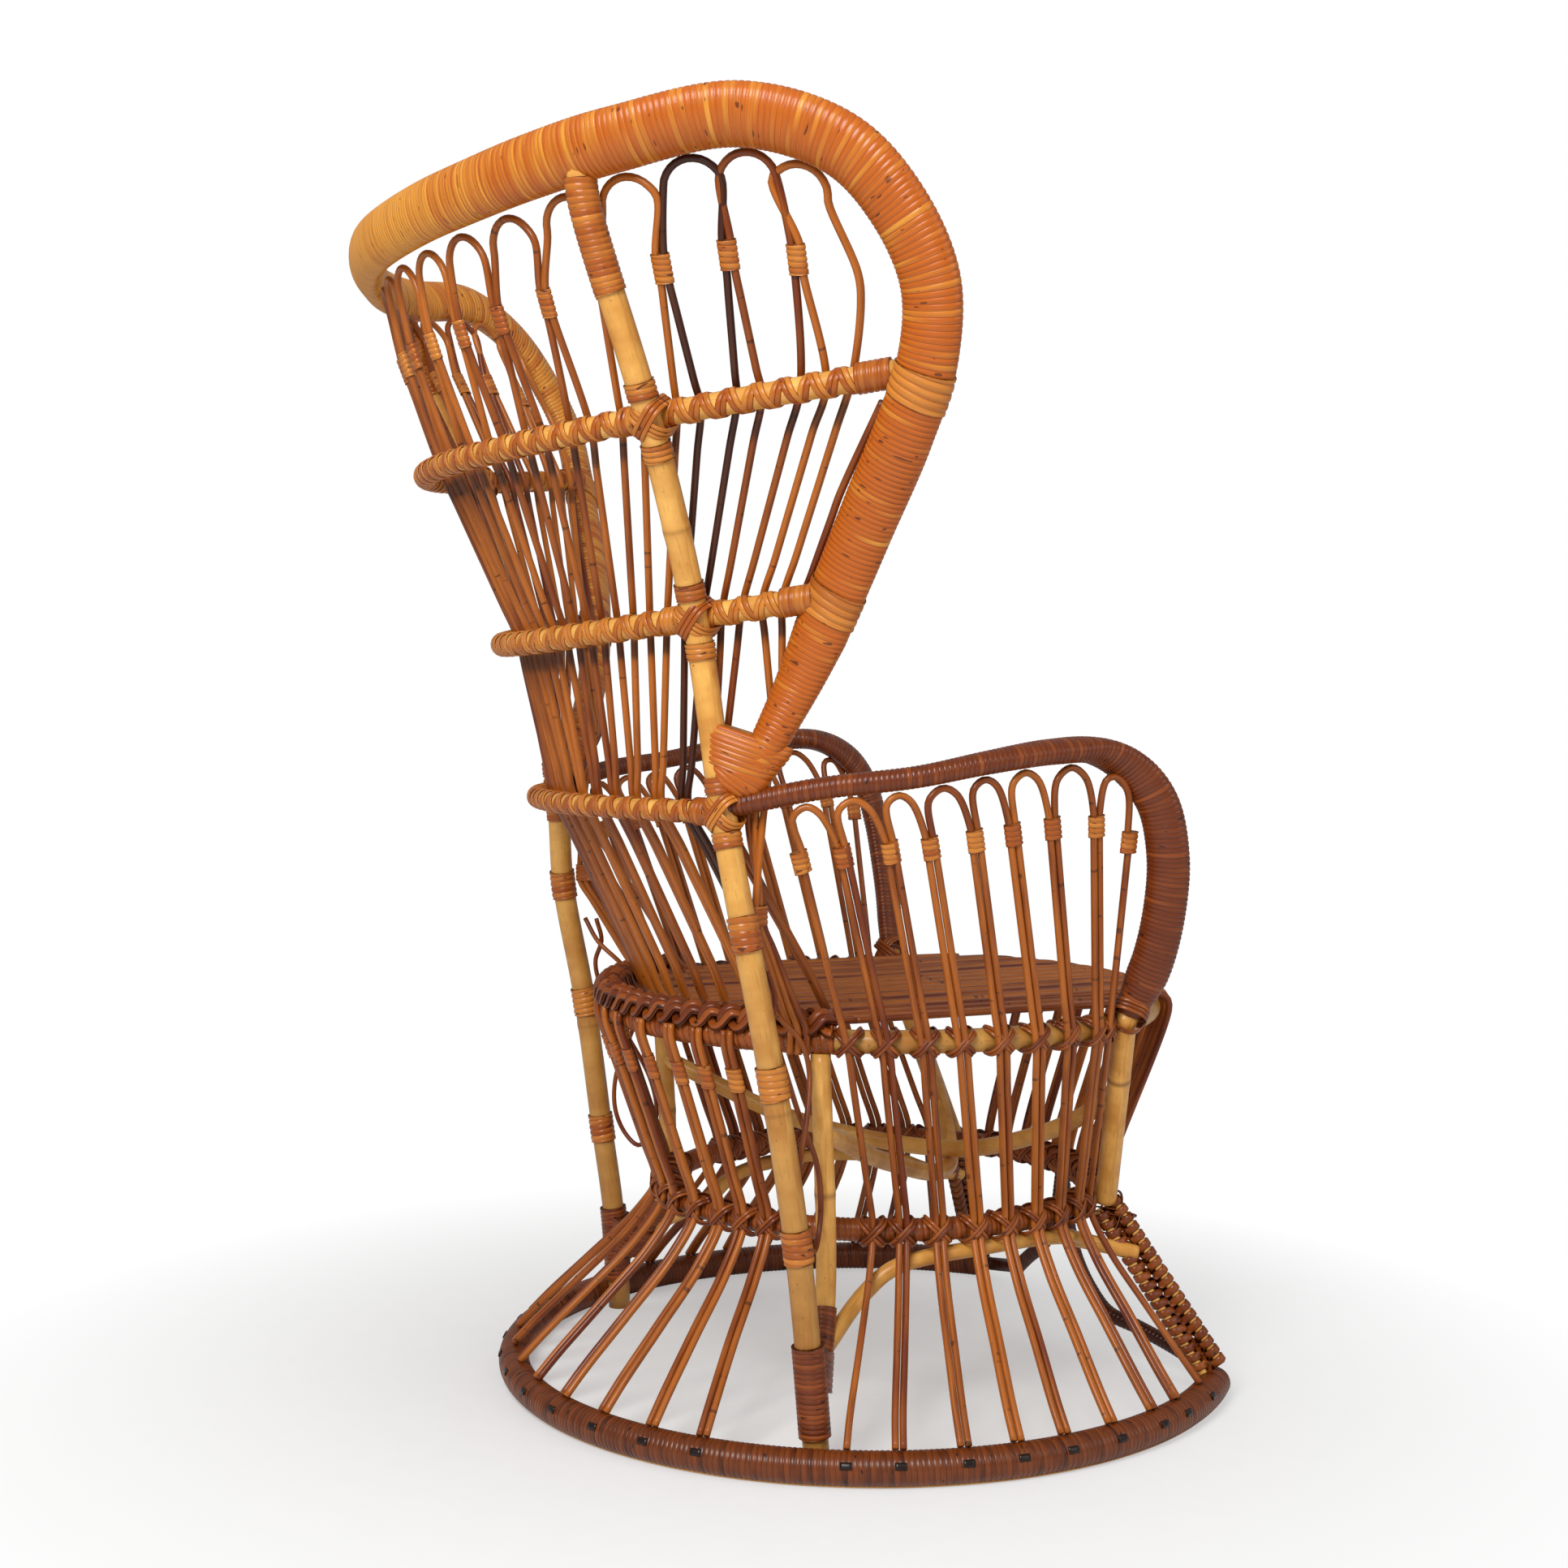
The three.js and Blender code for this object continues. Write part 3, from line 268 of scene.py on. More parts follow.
def tube(path, radius, side=(0, 0, 1), sides=10, tone=None, stain=0.0):
    """A round strand along a path."""
    u, w = frames(path, side)
    angle = np.arange(sides) * 2 * np.pi / sides
    points = path[:, None] + np.reshape(radius, (-1, 1, 1)) * ringed(u[:, None], w[:, None], angle)
    return skin(points, lengths(path), angle / (2 * np.pi), tone, stain)


STRIP_ACROSS = np.array([-0.5, -0.4, -0.15, 0.15, 0.4, 0.5])
STRIP_CROWN = np.array([0.0, 0.75, 1.0, 1.0, 0.75, 0.0])


def strip(path, facing, width, thick, tone=None, stain=0.0):
    """A strip of flat cane along a path; its glossy side looks the way of facing."""
    ahead = unit(np.gradient(path, axis=0))
    side = unit(np.cross(ahead, facing))
    face = np.cross(side, ahead)
    points = (path[:, None] + (STRIP_ACROSS * width)[:, None] * side[:, None]
              + (STRIP_CROWN * thick)[:, None] * face[:, None])
    return skin(points, lengths(path), STRIP_ACROSS + 0.5, tone, stain)


print("a test reed has", len(tube(np.eye(3) * 9, 3)["points"]), "points")

# %% [markdown]
# ## Winding
# Most poles of this chair are hidden under cane that is wound turn beside turn. It could be faked by a
# bump, but the outline of the real rim is finely ribbed and each turn catches its own light. So the
# rows of points follow the strip itself round the pole: four rows for the groove, the two shoulders
# and the crown of each turn. The last point of a row joins the first one a turn further on, which
# makes one endless strip, as on the real chair.

# %% Along a wound pole
TURN_ROWS = np.array([0.0, 0.16, 0.5, 0.84])
TURN_CROWN = np.array([0.0, 0.8, 1.0, 0.8])
LID_SIDES = 24


def on_path(path, where, side):
    """Points and cross axes at distances along a path."""
    u, w = frames(path, side)
    place, u, w = (sampled(rows, lengths(path), where) for rows in (path, u, w))
    return place, unit(u), unit(w)


def size_at(size, share):
    """Half width and half thickness at a share of a winding: one radius, two sizes or a function."""
    if callable(size):
        return size(share)
    return np.multiply.outer(np.broadcast_to(size, 2), np.ones_like(share))


print("rows of points to a turn of cane:", len(TURN_ROWS))


# %% Cane wound over a pole
def winding(path, size, pitch, side=(0, 0, 1), columns=20, tone=None, groove=0.7):
    """Cane wound over a pole, turn beside turn, with a flat end on each side."""
    total = lengths(path)[-1]
    turns = int(round(total / pitch)) + 1
    rows = np.arange(turns * 4 + 4)
    across, crown = TURN_ROWS[rows % 4][:, None], TURN_CROWN[rows % 4][:, None]
    round_share = np.arange(columns) / columns
    turn = (rows // 4)[:, None] + round_share
    where = np.clip((turn + across - 1) * total / (turns - 1), 0, total)
    centre, u, w = on_path(path, where, side)
    half_wide, half_thin = size_at(size, where / total)
    sink = groove * (1 - crown)
    out = ringed(u, w, 2 * np.pi * round_share, half_wide - sink, half_thin - sink)
    index = np.arange(turn.size).reshape(turn.shape)
    after = np.concatenate([index[:-4, 1:], index[4:, :1]], axis=1)
    tone = rng.random() if tone is None else tone
    part = {
        "points": (centre + out).reshape(-1, 3),
        "quads": quads_between(index[:-4], after),
        "tris": np.empty((0, 3), int),
    }
    girth = np.mean(np.pi * (half_wide + half_thin))
    tones = tone(where / total) if callable(tone) else tone
    for key, value in zip(ATTRIBUTES, (turn * girth, across, tones, 0.0)):
        part[key] = np.broadcast_to(value, turn.shape).ravel()
    return [part, lid(path, 0, size, side), lid(path, 1, size, side)]


def lid(path, end, size, side):
    """A flat end for a winding."""
    place, u, w = on_path(path, np.array([end * lengths(path)[-1]]), side)
    half_wide, half_thin = size_at(size, np.array([float(end)]))
    a = np.linspace(0, 2 * np.pi, LID_SIDES, endpoint=False)
    ring = place + ringed(u, w, a, half_wide, half_thin)
    flat = np.stack([ring, mix(ring, place, 0.9)])
    return skin(flat if end else flat[::-1], np.zeros(2), a / (2 * np.pi), 0.2)


print("a flat end has", LID_SIDES, "sides")


# %% [markdown]
# ## Making a piece
# A piece is one mesh of many strands. It carries the strands' values, gets its material, rides on the
# chair's one body and hides the node of the frame it stands for. Left and right pieces are made from
# the same strands, with the right one mirrored.

# %% Piece helpers
def mirrored(parts):
    """The same strands on the other side of the chair, their faces still looking outwards."""
    return [{**p, "points": flip(p["points"]), "quads": p["quads"][:, ::-1], "tris": p["tris"][:, ::-1]}
            for p in parts]


def make_piece(name, parts, material, slot, *nodes):
    """One object from many strands, in metres of the frame."""
    offsets = np.cumsum([0] + [len(p["points"]) for p in parts])
    points = np.vstack([p["points"] for p in parts]) * MM + (0, ring_axis_y, 0)
    faces = []
    for part, offset in zip(parts, offsets):
        faces += (part["quads"] + offset).tolist() + (part["tris"] + offset).tolist()
    mesh = bpy.data.meshes.new(name)
    mesh.from_pydata(points.tolist(), [], faces)
    mesh.polygons.foreach_set("use_smooth", np.ones(len(mesh.polygons), bool))
    for key in ATTRIBUTES:
        values = np.concatenate([p[key] for p in parts]).astype(np.float32)
        mesh.attributes.new(key, "FLOAT", "POINT").data.foreach_set("value", values)
    mesh.materials.append(material)
    piece = place_object(name, mesh)
    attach(piece, "root")
    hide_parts(*nodes)
    print(f"{name}: {len(points)} points, {len(faces)} faces")


def make_pair(name, parts, material, slot, node, sided=True):
    """A piece and its mirror image, for the nodes of the two sides or for the one node of both."""
    for side, strands in (("left", parts), ("right", mirrored(parts))):
        make_piece(f"{name}_{side}", strands, material, slot, f"{node}_{side}" if sided else node)


print("a piece is made in metres, so its millimetres are multiplied by", MM)


# %% [markdown]
# ## Colours and nodes
# Colours are written as a painter reads them off a screen, in sRGB hex. Blender's shaders want linear
# light, so one function turns them over. One more function adds a node, sets it and links it.

# %% Colour and node helpers
def linear(hex_colour):
    """An sRGB hex colour as linear red, green, blue and alpha."""
    shares = [int(hex_colour[i:i + 2], 16) / 255 for i in (1, 3, 5)]
    return [c / 12.92 if c <= 0.04045 else ((c + 0.055) / 1.055) ** 2.4 for c in shares] + [1.0]


def add(tree, kind, inputs=None, output=0, **settings):
    """An output of a new node; each of its inputs takes a value or another node's output."""
    node = tree.nodes.new(kind)
    for key, value in settings.items():
        setattr(node, key, value)
    for key, value in (inputs or {}).items():
        if isinstance(value, bpy.types.NodeSocket):
            tree.links.new(value, node.inputs[key])
        else:
            node.inputs[key].default_value = value
    return node.outputs[output]


print("honey in linear light:", [round(c, 3) for c in linear("#c98f45")])

# %% [markdown]
# ## Rattan under lacquer
# Everything on the chair is rattan under clear lacquer, so one recipe serves for pole, cane and reed. Two
# colours drift into each other along the strand. Dark marks are drawn over them, much longer than they
# are wide, because the fibres run along the stem; a plain wood colour with one noise would look painted.
# The mesh gives the places along and across the strand, so the pattern turns round a pole with its cane.
# A pattern is given as its cells across the strand, the millimetres that one takes along it, its detail
# and a shift; then come the limits between which it appears and how strong it gets.

# %% Noise and colours along a strand
TONE_SPREAD = 40.0


def new_material(name):
    """An empty node material."""
    material = bpy.data.materials.new(name)
    material.use_nodes = True
    return material, material.node_tree


def strand_noise(tree, kept, cells, cell_mm, detail, shift=0.0):
    """Noise drawn out along a strand, in another place for each tone."""
    scales = (("across", cells, 0.0), ("along", 1 / cell_mm, 0.0), ("tone", TONE_SPREAD, shift))
    place = [add(tree, "ShaderNodeMath", {0: kept[key], 1: scale, 2: start}, operation="MULTIPLY_ADD")
             for key, scale, start in scales]
    place = add(tree, "ShaderNodeCombineXYZ", dict(enumerate(place)))
    return add(tree, "ShaderNodeTexNoise", {"Vector": place, "Scale": 1.0, "Detail": detail,
                                            "Roughness": 0.6}, "Fac")


def laid_over(tree, under, over, value, low, high, most=1.0):
    """A colour laid over another where a value rises from low to high."""
    share = add(tree, "ShaderNodeMapRange", {"Value": value, "From Min": low, "From Max": high,
                                             "To Max": most})
    return add(tree, "ShaderNodeMix", {0: share, 6: under, 7: over}, 2, data_type="RGBA")


print("cells of noise between the palest and the darkest tone:", TONE_SPREAD)

# %% Recipe for lacquered rattan
LACQUER = {"IOR": 1.5, "Specular IOR Level": 0.3, "Coat Weight": 0.2, "Coat Roughness": 0.2}
EDGE_FROM, EDGE_TO = 0.4, 0.5
ROUGH_FROM, ROUGH_TO = 0.3, 0.7


def lacquered(name, colours, drift, marks, tones=None, groove=0.0, rough=(1, 0.25, 0.42), relief_mm=0.12):
    """Two drifting colours, dark marks, stains and painted shade from the mesh, a fine relief and clear
    lacquer.
    """
    material, tree = new_material(name)
    light, deep, dark = (linear(c) for c in colours)
    kept = {key: add(tree, "ShaderNodeAttribute", output="Fac", attribute_name=key) for key in ATTRIBUTES}
    noises = [strand_noise(tree, kept, *pattern) for pattern, _ in (drift, *marks)]
    base = noises[0]
    if tones:
        tone = add(tree, "ShaderNodeMapRange", {"Value": kept["tone"], "To Min": tones[0],
                                                "To Max": tones[1]})
        base = add(tree, "ShaderNodeMath", {0: base, 1: tone}, operation="ADD")
    colour = laid_over(tree, light, deep, base, *drift[1])
    for noise, (_, limits) in zip(noises[1:], marks):
        colour = laid_over(tree, colour, dark, noise, *limits)
    if groove:
        edge = add(tree, "ShaderNodeMath", {0: kept["across"], 1: 0.5}, operation="SUBTRACT")
        edge = add(tree, "ShaderNodeMath", {0: edge}, operation="ABSOLUTE")
        colour = laid_over(tree, colour, dark, edge, EDGE_FROM, EDGE_TO, groove)
    # Real stains and painted shade, both carried by the mesh, darken the colour here.
    colour = laid_over(tree, colour, dark, kept["stain"], 0.0, 1.0)
    follows, satin, dull = rough
    roughness = add(tree, "ShaderNodeMapRange", {"Value": noises[follows], "From Min": ROUGH_FROM,
                                                 "From Max": ROUGH_TO, "To Min": satin, "To Max": dull})
    bump = add(tree, "ShaderNodeBump", {"Strength": 0.6, "Distance": relief_mm * MM, "Height": noises[1]})
    shader = tree.nodes["Principled BSDF"]
    for key, value in LACQUER.items():
        shader.inputs[key].default_value = value
    for key, socket in (("Base Color", colour), ("Roughness", roughness), ("Normal", bump)):
        tree.links.new(socket, shader.inputs[key])
    print("made", name)
    return material


print("lacquer:", LACQUER)

# %% [markdown]
# ## Bare rattan pole, lacquered
# The poles are whole stems of rattan with the bark left on, sanded and lacquered. To the eye that is a
# warm honey colour that drifts between straw and tan over a hand's breadth, very fine dark lines along
# the stem, a few specks, a thin brown ring at each joint, and a clear gloss. Lines and specks are the
# two marks of the recipe; the rings come from the mesh as stain.

# %% Bare pole material
pole_finish = lacquered(
    "lacquered_rattan_pole", ("#f2b65c", "#cd8a3a", "#6b3a14"), drift=((1.0, 45, 3.0), (0.35, 0.68)),
    marks=[((36.0, 22, 4.0, 7.0), (0.56, 0.8, 0.55)), ((20.0, 3.5, 1.0, 3.0), (0.71, 0.78, 0.7))],
    rough=(0, 0.26, 0.42), relief_mm=0.25)

# %% [markdown]
# ## Wound cane
# The peel of the stem is split into flat strips about 4 mm wide. Its skin is glassy, its fibres run
# along the strip, and now and then it shows the scar of a joint as a small dark mark. Where two turns
# meet, a dark line is drawn at the strip's two edges.

# %% Wound cane material
def wound_cane(name, colours, groove=0.75):
    """Glossy cane peel, wound or lashed."""
    return lacquered(
        name, colours, drift=((0.0, 70, 1.0), (0.36, 0.64)),
        marks=[((9.0, 30, 4.0, 5.0), (0.5, 0.78, 0.5)), ((1.2, 9, 0.0, 9.0), (0.765, 0.8, 0.85))],
        tones=(-0.2, 0.2), groove=groove)


honey_cane = wound_cane("honey_cane_peel", ("#e39a38", "#bf5f14", "#5a270c"))
lashing_cane = wound_cane("honey_cane_lashing", ("#cf8030", "#a85416", "#4f210a"), 0.4)
arm_cane = wound_cane("reddish_cane_peel", ("#9a4d18", "#70300e", "#2a0e04"))
base_cane = wound_cane("dark_stained_cane_peel", ("#7d3c12", "#451905", "#1b0903"))
strut_cane = wound_cane("brown_cane_weave", ("#9c5018", "#74320c", "#2d1006"), 0.5)

# %% [markdown]
# ## Round reed
# The reeds are thin stems, scraped and lacquered to a warm orange brown. Each reed has its own tone,
# some are nearly straw and one is dark brown. For a finger's breadth under each hoop the reeds are
# painted nearly black, as painted shadow of the hoop. The tone, the dark reed's darkness and the painted
# shadow come from the mesh.

# %% Reed material
reed_finish = lacquered(
    "lacquered_round_reed", ("#b3621b", "#742f07", "#260e05"), drift=((0.6, 90, 2.0), (0.28, 0.72)),
    marks=[((14.0, 26, 4.0, 5.0), (0.5, 0.8, 0.45)), ((0.5, 6, 0.0, 8.0), (0.77, 0.8, 0.6))],
    tones=(-0.32, 0.24), rough=(1, 0.28, 0.45), relief_mm=0.15)

# %% [markdown]
# ## The head rim
# The rim is a bundle of poles under one winding, a flat oval 47 by 29 mm that sweeps from the crown
# out to the wings and in again to the arms. Its flat side looks at a point in the middle of the back.
# Two poles could be bent and joined for it, but only the winding shows, so the winding is the piece.

# %% Head rim
RIM_POINTS = np.array([
    [246, 210, 560], [273, 182, 631], [308, 166, 696], [350, 156, 757], [399, 150, 815], [432, 147, 864],
    [449, 154, 915], [449, 181, 967], [435, 217, 1007], [393, 276, 1032], [331, 349, 1022],
    [258, 392, 1015], [184, 419, 1011], [110, 440, 1008], [0, 454, 1005],
], float)
RIM_HALF_WIDE, RIM_HALF_THIN, RIM_END_HALF = 23.5, 14.5, 13.0
RIM_DRAWN_IN = 0.06
RIM_PITCH = 4.4
RIM_TONES = [(0, 0.6), (0.3, 0.45), (0.44, 0.12), (0.54, 0.12), (0.62, 0.76), (0.85, 0.95), (1, 1.05)]
heart = np.array([0.0, 359.0, 640.0])
rim_path = smooth(np.vstack([RIM_POINTS, flip(RIM_POINTS[:-1])[::-1]]), 5.0)
crown_first = rim_path[:len(rim_path) // 2 + 1][::-1]
half_rim = lengths(crown_first)[-1]
print("half of the rim in mm:", round(half_rim))


def rim_size(share):
    """Half width and half thickness of the rim; its two ends are drawn in round."""
    full = np.clip(np.minimum(share, 1 - share) / RIM_DRAWN_IN, 0, 1)
    return mix(RIM_END_HALF, RIM_HALF_WIDE, full), mix(RIM_END_HALF, RIM_HALF_THIN, full)


def rim_tone(share):
    """Paler over the crown, deeper orange towards both ends, deepest at the sitter's right end."""
    return np.interp(share, *zip(*RIM_TONES))


rim = winding(rim_path, rim_size, RIM_PITCH, heart - rim_path, 32, rim_tone)
make_piece("top_rim_winding", rim, honey_cane, "cane_binding", "top_rim")

# %% [markdown]
# ## Rear legs and back posts
# One long pole stands on the floor inside the base ring, rises past the seat and runs up outside the
# hoops to the underside of the rim. It is the palest thing on the chair. A plain tube would look like
# pipe, so it swells a little at each joint of the stem, and a thin brown ring marks the joint.

# %% Poles with joints
JOINT_SPACING_MM = 235.0
JOINT_SWELL_MM = 0.5
JOINT_HALF_MM = 5.0
JOINT_RING_MM = 1.3


def pole(path, radius, side=(0, 0, 1), first_joint=90.0, tone=None, sides=16, stain=0.0):
    """A rattan stem along a path, with its joints."""
    half = JOINT_SPACING_MM / 2
    nearest = np.abs((lengths(path) - first_joint + half) % JOINT_SPACING_MM - half)
    swell = JOINT_SWELL_MM * np.exp(-(nearest / JOINT_HALF_MM) ** 2)
    ring = 0.7 * np.exp(-(nearest / JOINT_RING_MM) ** 2)
    return tube(path, radius + swell, side, sides, tone, np.maximum(ring, stain))


print("a joint every", JOINT_SPACING_MM, "mm of a pole")


# %% Back posts
SNUG = 0.3
BASE_RADIUS, BASE_POLE, BASE_END = 327.0, 14.0, 138.0
POST_RADIUS = 10.7
POST_POINTS = np.array([
    [255.8, 165.7, 104], [259.3, 176.1, 186], [254.7, 195.1, 317], [252.5, 217.9, 436], [236.6, 227.9, 517],
    [234, 252.6, 686], [273.8, 304.7, 836], [299, 362, 985], [302, 366, 1012],
], float)
POST_TOP = 1010
POST_LOW_DARK, POST_FADE = 0.5, (150, 620)
foot = polar(BASE_RADIUS - BASE_POLE - POST_RADIUS - SNUG, 58.3, 0, 0)
post_path = np.vstack([foot, smooth(np.vstack([foot + (0, 0, 18), POST_POINTS]), 3.0)])
post_path = post_path[post_path[:, 2] < POST_TOP]
post_stem = pole(post_path, POST_RADIUS, (1, 0, 0), 60.0, 0.3, 20)
# The post is drawn darker towards the bottom, from 620 mm down to 150 mm above the floor.
darker_below = np.interp(post_stem["points"][:, 2], POST_FADE, (POST_LOW_DARK, 0))
post_stem["stain"] = np.maximum(post_stem["stain"], darker_below)
make_pair("back_post_stem", [post_stem], pole_finish, "bare_pole", "back_post")

# %% [markdown]
# ## Rings, front legs, inner legs, braces and crossed poles
# The seat ring is one bare pole bent into a full circle. Under it stand the front legs, the inner
# legs, the arched braces and the two crossed poles that keep the seat from twisting. They are bare
# stems too, so the same helper makes them all from the places where they are held.

# %% Seat ring
SEAT_RADIUS, SEAT_HEIGHT, SEAT_POLE = 250.0, 339.0, 10.0
WAIST_RADIUS, WAIST_HEIGHT, WAIST_POLE = 197.0, 170.0, 10.0
FULL_CIRCLE = (180, 540)


def circle(radius, height, start, end, spacing=4.0, centre_y=SEAT_Y):
    """An arc round the seat's middle, from the rear over the sitter's left."""
    count = int(abs(end - start) / 360 * 2 * np.pi * radius / spacing)
    return np.array([polar(radius, a, height, centre_y) for a in np.linspace(start, end, count + 1)])


seat_ring_stem = pole(circle(SEAT_RADIUS, SEAT_HEIGHT, *FULL_CIRCLE), SEAT_POLE, stain=0.38)
make_piece("seat_ring_stem", [seat_ring_stem], pole_finish, "bare_pole", "seat_ring")

# %% Lines of the arms and the legs
ARM_POINTS = np.array([
    [275, 165, 550], [298, 91, 559], [303, 30, 570], [299, -30, 578], [293, -75, 578], [293, -108, 563],
    [295, -132, 535], [291, -145, 491], [281, -149, 448], [264, -148, 400],
], float)
ARM_ROUND, ARM_HALF_WIDE, ARM_HALF_THIN = 9.0, 18.0, 11.0
LEG_RADIUS, INNER_RADIUS, BRACE_RADIUS, CROSS_RADIUS = 10.0, 8.5, 7.0, 8.0
INNER_SHARES = np.array([[1, 1, 0.94], [0.99, 0.955, 0.5], [1.025, 0.985, 0.354]])
BRACE_SHARES = ((61.9, 1.09, 0.706), (69.1, 1.04, 0.824), (92, 1.015, 0.894), (118, 1.03, 0.87),
                (129, 1.04, 0.8))
arm_end = polar(SEAT_RADIUS + SEAT_POLE + ARM_HALF_THIN + SNUG, 117.4, SEAT_HEIGHT + 14)
arm_path = smooth(np.vstack([at_height(post_path, 534.1), ARM_POINTS, arm_end]), 4.0)
arm_length = lengths(arm_path)[-1]
arm_way = unit(arm_path[-1] - arm_path[-3])
leg_top = arm_end + arm_way * SNUG
leg_neck = leg_top + arm_way * LEG_RADIUS
leg_foot = polar(WAIST_RADIUS + WAIST_POLE + LEG_RADIUS + SNUG, 135.5, WAIST_HEIGHT)
leg_path = np.vstack([leg_top, smooth(np.vstack([leg_neck, mix(leg_neck, leg_foot, 0.5), leg_foot]), 4.0)])
inner_top = polar(SEAT_RADIUS, 54.1, SEAT_HEIGHT - SEAT_POLE - SNUG)
inner_end = at_height(post_path, 62) + np.array([-0.8, -0.6, 0]) * (POST_RADIUS + INNER_RADIUS + SNUG)
inner_points = INNER_SHARES * (inner_top[0], inner_top[1], SEAT_HEIGHT)
inner_path = np.vstack([inner_top, smooth(np.vstack([inner_points, inner_end]), 4.0)])
strut_foot = polar(BASE_RADIUS, 136, 28.3, 0)
strut_top = np.array([leg_foot[0], leg_foot[1], WAIST_HEIGHT - 4.5])
brace_points = [polar(r * WAIST_RADIUS, a, h * WAIST_HEIGHT) for a, r, h in BRACE_SHARES]
brace_path = smooth([at_height(inner_path, 85), *brace_points, mix(strut_top, strut_foot, 0.3)], 4.0)
print("arm rail in mm:", round(arm_length))

# %% Front legs, inner legs and arched braces
for node, *stem in (("front_leg", leg_path, LEG_RADIUS, (1, 0, 0), 70.0, 0.5),
                    ("inner_leg", inner_path, INNER_RADIUS, (1, 0, 0), 118.0, 0.9),
                    ("arched_brace", brace_path, BRACE_RADIUS, (0, 0, 1), 150.0, 0.8, 12)):
    make_pair(f"{node}_stem", [pole(*stem)], pole_finish, "bare_pole", node)


# %% Crossed poles
def cross_line(lift):
    """From an inner leg under the seat to the front leg on the other side."""
    points = np.array([[0.42, 0.1, 0.62], [0, -0.35, 0.545], [-0.42, -0.52, 0.66]])
    points = points * (SEAT_RADIUS, SEAT_RADIUS, SEAT_HEIGHT)
    points[1, 2] += lift
    ends = at_height(inner_path, 0.775 * SEAT_HEIGHT), flip(at_height(leg_path, 0.8 * SEAT_HEIGHT))
    return smooth(np.vstack([ends[0], points, ends[1]]), 4.0)


for node, line, tone in (("cross_pole_upper", cross_line(CROSS_RADIUS + SNUG / 2), 0.7),
                         ("cross_pole_lower", flip(cross_line(-CROSS_RADIUS - SNUG / 2)), 0.4)):
    make_piece(f"{node}_stem", [pole(line, CROSS_RADIUS, tone=tone)], pole_finish, "bare_pole", node)

# %% [markdown]
# ## Arm rails
# The arm starts round at the back post and flattens towards the front, where it turns down to the
# seat ring. Its cane is stained a reddish brown and wound so tightly that it looks turned.

# %% Arm rails
ARM_PITCH = 4.2
ARM_FLARE = np.array([0.6, -0.8, 0.0])
ARM_FLAT_FROM, ARM_FLAT_TO, ARM_ROOT = 0.25, 0.55, 0.93


def eased(value, low, high):
    """A soft step from 0 to 1."""
    share = np.clip((value - low) / (high - low), 0, 1)
    return share * share * (3 - 2 * share)


def arm_size(share):
    """Round at the back, flat and broad in front, drawn in again at the seat ring."""
    flat = eased(share, ARM_FLAT_FROM, ARM_FLAT_TO) * (1 - eased(share, ARM_ROOT, 1) / 2)
    return mix(ARM_ROUND, ARM_HALF_WIDE, flat), mix(ARM_ROUND, ARM_HALF_THIN, flat)


arm_share = (lengths(arm_path) / arm_length)[:, None]
arm_side = mix(np.cross((0, 0, 1), unit(np.gradient(arm_path, axis=0))), ARM_FLARE,
               eased(arm_share, ARM_FLAT_FROM, ARM_FLAT_TO))
arm_winding = winding(arm_path, arm_size, ARM_PITCH, arm_side, 24)
make_pair("arm_rail_winding", arm_winding, arm_cane, "dark_binding", "arm_rail")

# %% [markdown]
# ## Waist ring, base ring and front arch
# The waist ring and the base ring are wound all the way round. The base is open in front, where an
# arch of the same cane rises to the waist ring. A thin pale sole of split cane lies under the base.

# %% Waist ring and base ring
WAIST_PITCH, BASE_PITCH = 4.6, 4.4
SOLE_OUT, SOLE_HEIGHT, SOLE_WIDE, SOLE_THICK = 4.6, 1.6, 2.8, 1.4
waist_winding = winding(circle(WAIST_RADIUS, WAIST_HEIGHT, *FULL_CIRCLE), WAIST_POLE, WAIST_PITCH)
make_piece("waist_ring_winding", waist_winding, arm_cane, "cane_binding", "waist_ring")
base_path = circle(BASE_RADIUS, BASE_POLE, -BASE_END, BASE_END, centre_y=0.0)
base_winding = winding(base_path, BASE_POLE, BASE_PITCH, columns=24)
make_piece("base_ring_winding", base_winding, base_cane, "dark_binding", "base_ring")
sole_line = circle(BASE_RADIUS + SOLE_OUT, SOLE_HEIGHT, -BASE_END, BASE_END, centre_y=0.0)
sole = strip(sole_line, unit(sole_line * (1, 1, 0)), SOLE_WIDE, SOLE_THICK, 0.1)
make_piece("base_ring_sole", [sole], pole_finish, "dark_binding", "base_ring")

# %% Front arch
ARCH_RADIUS = 7.0
ARCH_POINTS = np.array([
    [160.2, -244.9, 25], [115.1, -226.9, 37], [88, -211.9, 45], [62.1, -208, 61], [31.1, -209.9, 84],
    [13.1, -211.9, 110.5],
])
arch_start = base_path[-1]
arch_way = unit(base_path[-1] - base_path[-3])
arch_crown = polar(WAIST_RADIUS, 180, WAIST_HEIGHT - WAIST_POLE)
arch_path = smooth([arch_start, arch_start + arch_way * 12, *ARCH_POINTS, arch_crown], 3.0)
arch = winding(arch_path, ARCH_RADIUS, BASE_PITCH, (0, 1, 0), 16)
make_piece("front_arch_winding", arch + mirrored(arch), base_cane, "dark_binding", "front_arch")

# %% [markdown]
# ## Hoops and tie bar
# Two hoops behind the reeds and the tie bar at arm height are bare poles that the weaver lashed with
# flat cane in crosses. Two strips wind against each other, so on each side they cross once a turn
# and leave a small pale window between two crossings. Each strip is doubled, as in the photograph.

# %% Hoop lines
HOOP_RADIUS = 9.3
HOOP_LASHED = 10.5
BACK_LEAN = np.array([0.0, 0.33, 0.94])


def hoop_line(half_span, depth, sweep, height, rise):
    """A whole hoop from right to left; its middle lies farthest back."""
    s = np.linspace(-1, 1, 121)
    return np.stack([s * half_span, depth - sweep * s * s, height + rise * s * s], axis=1)


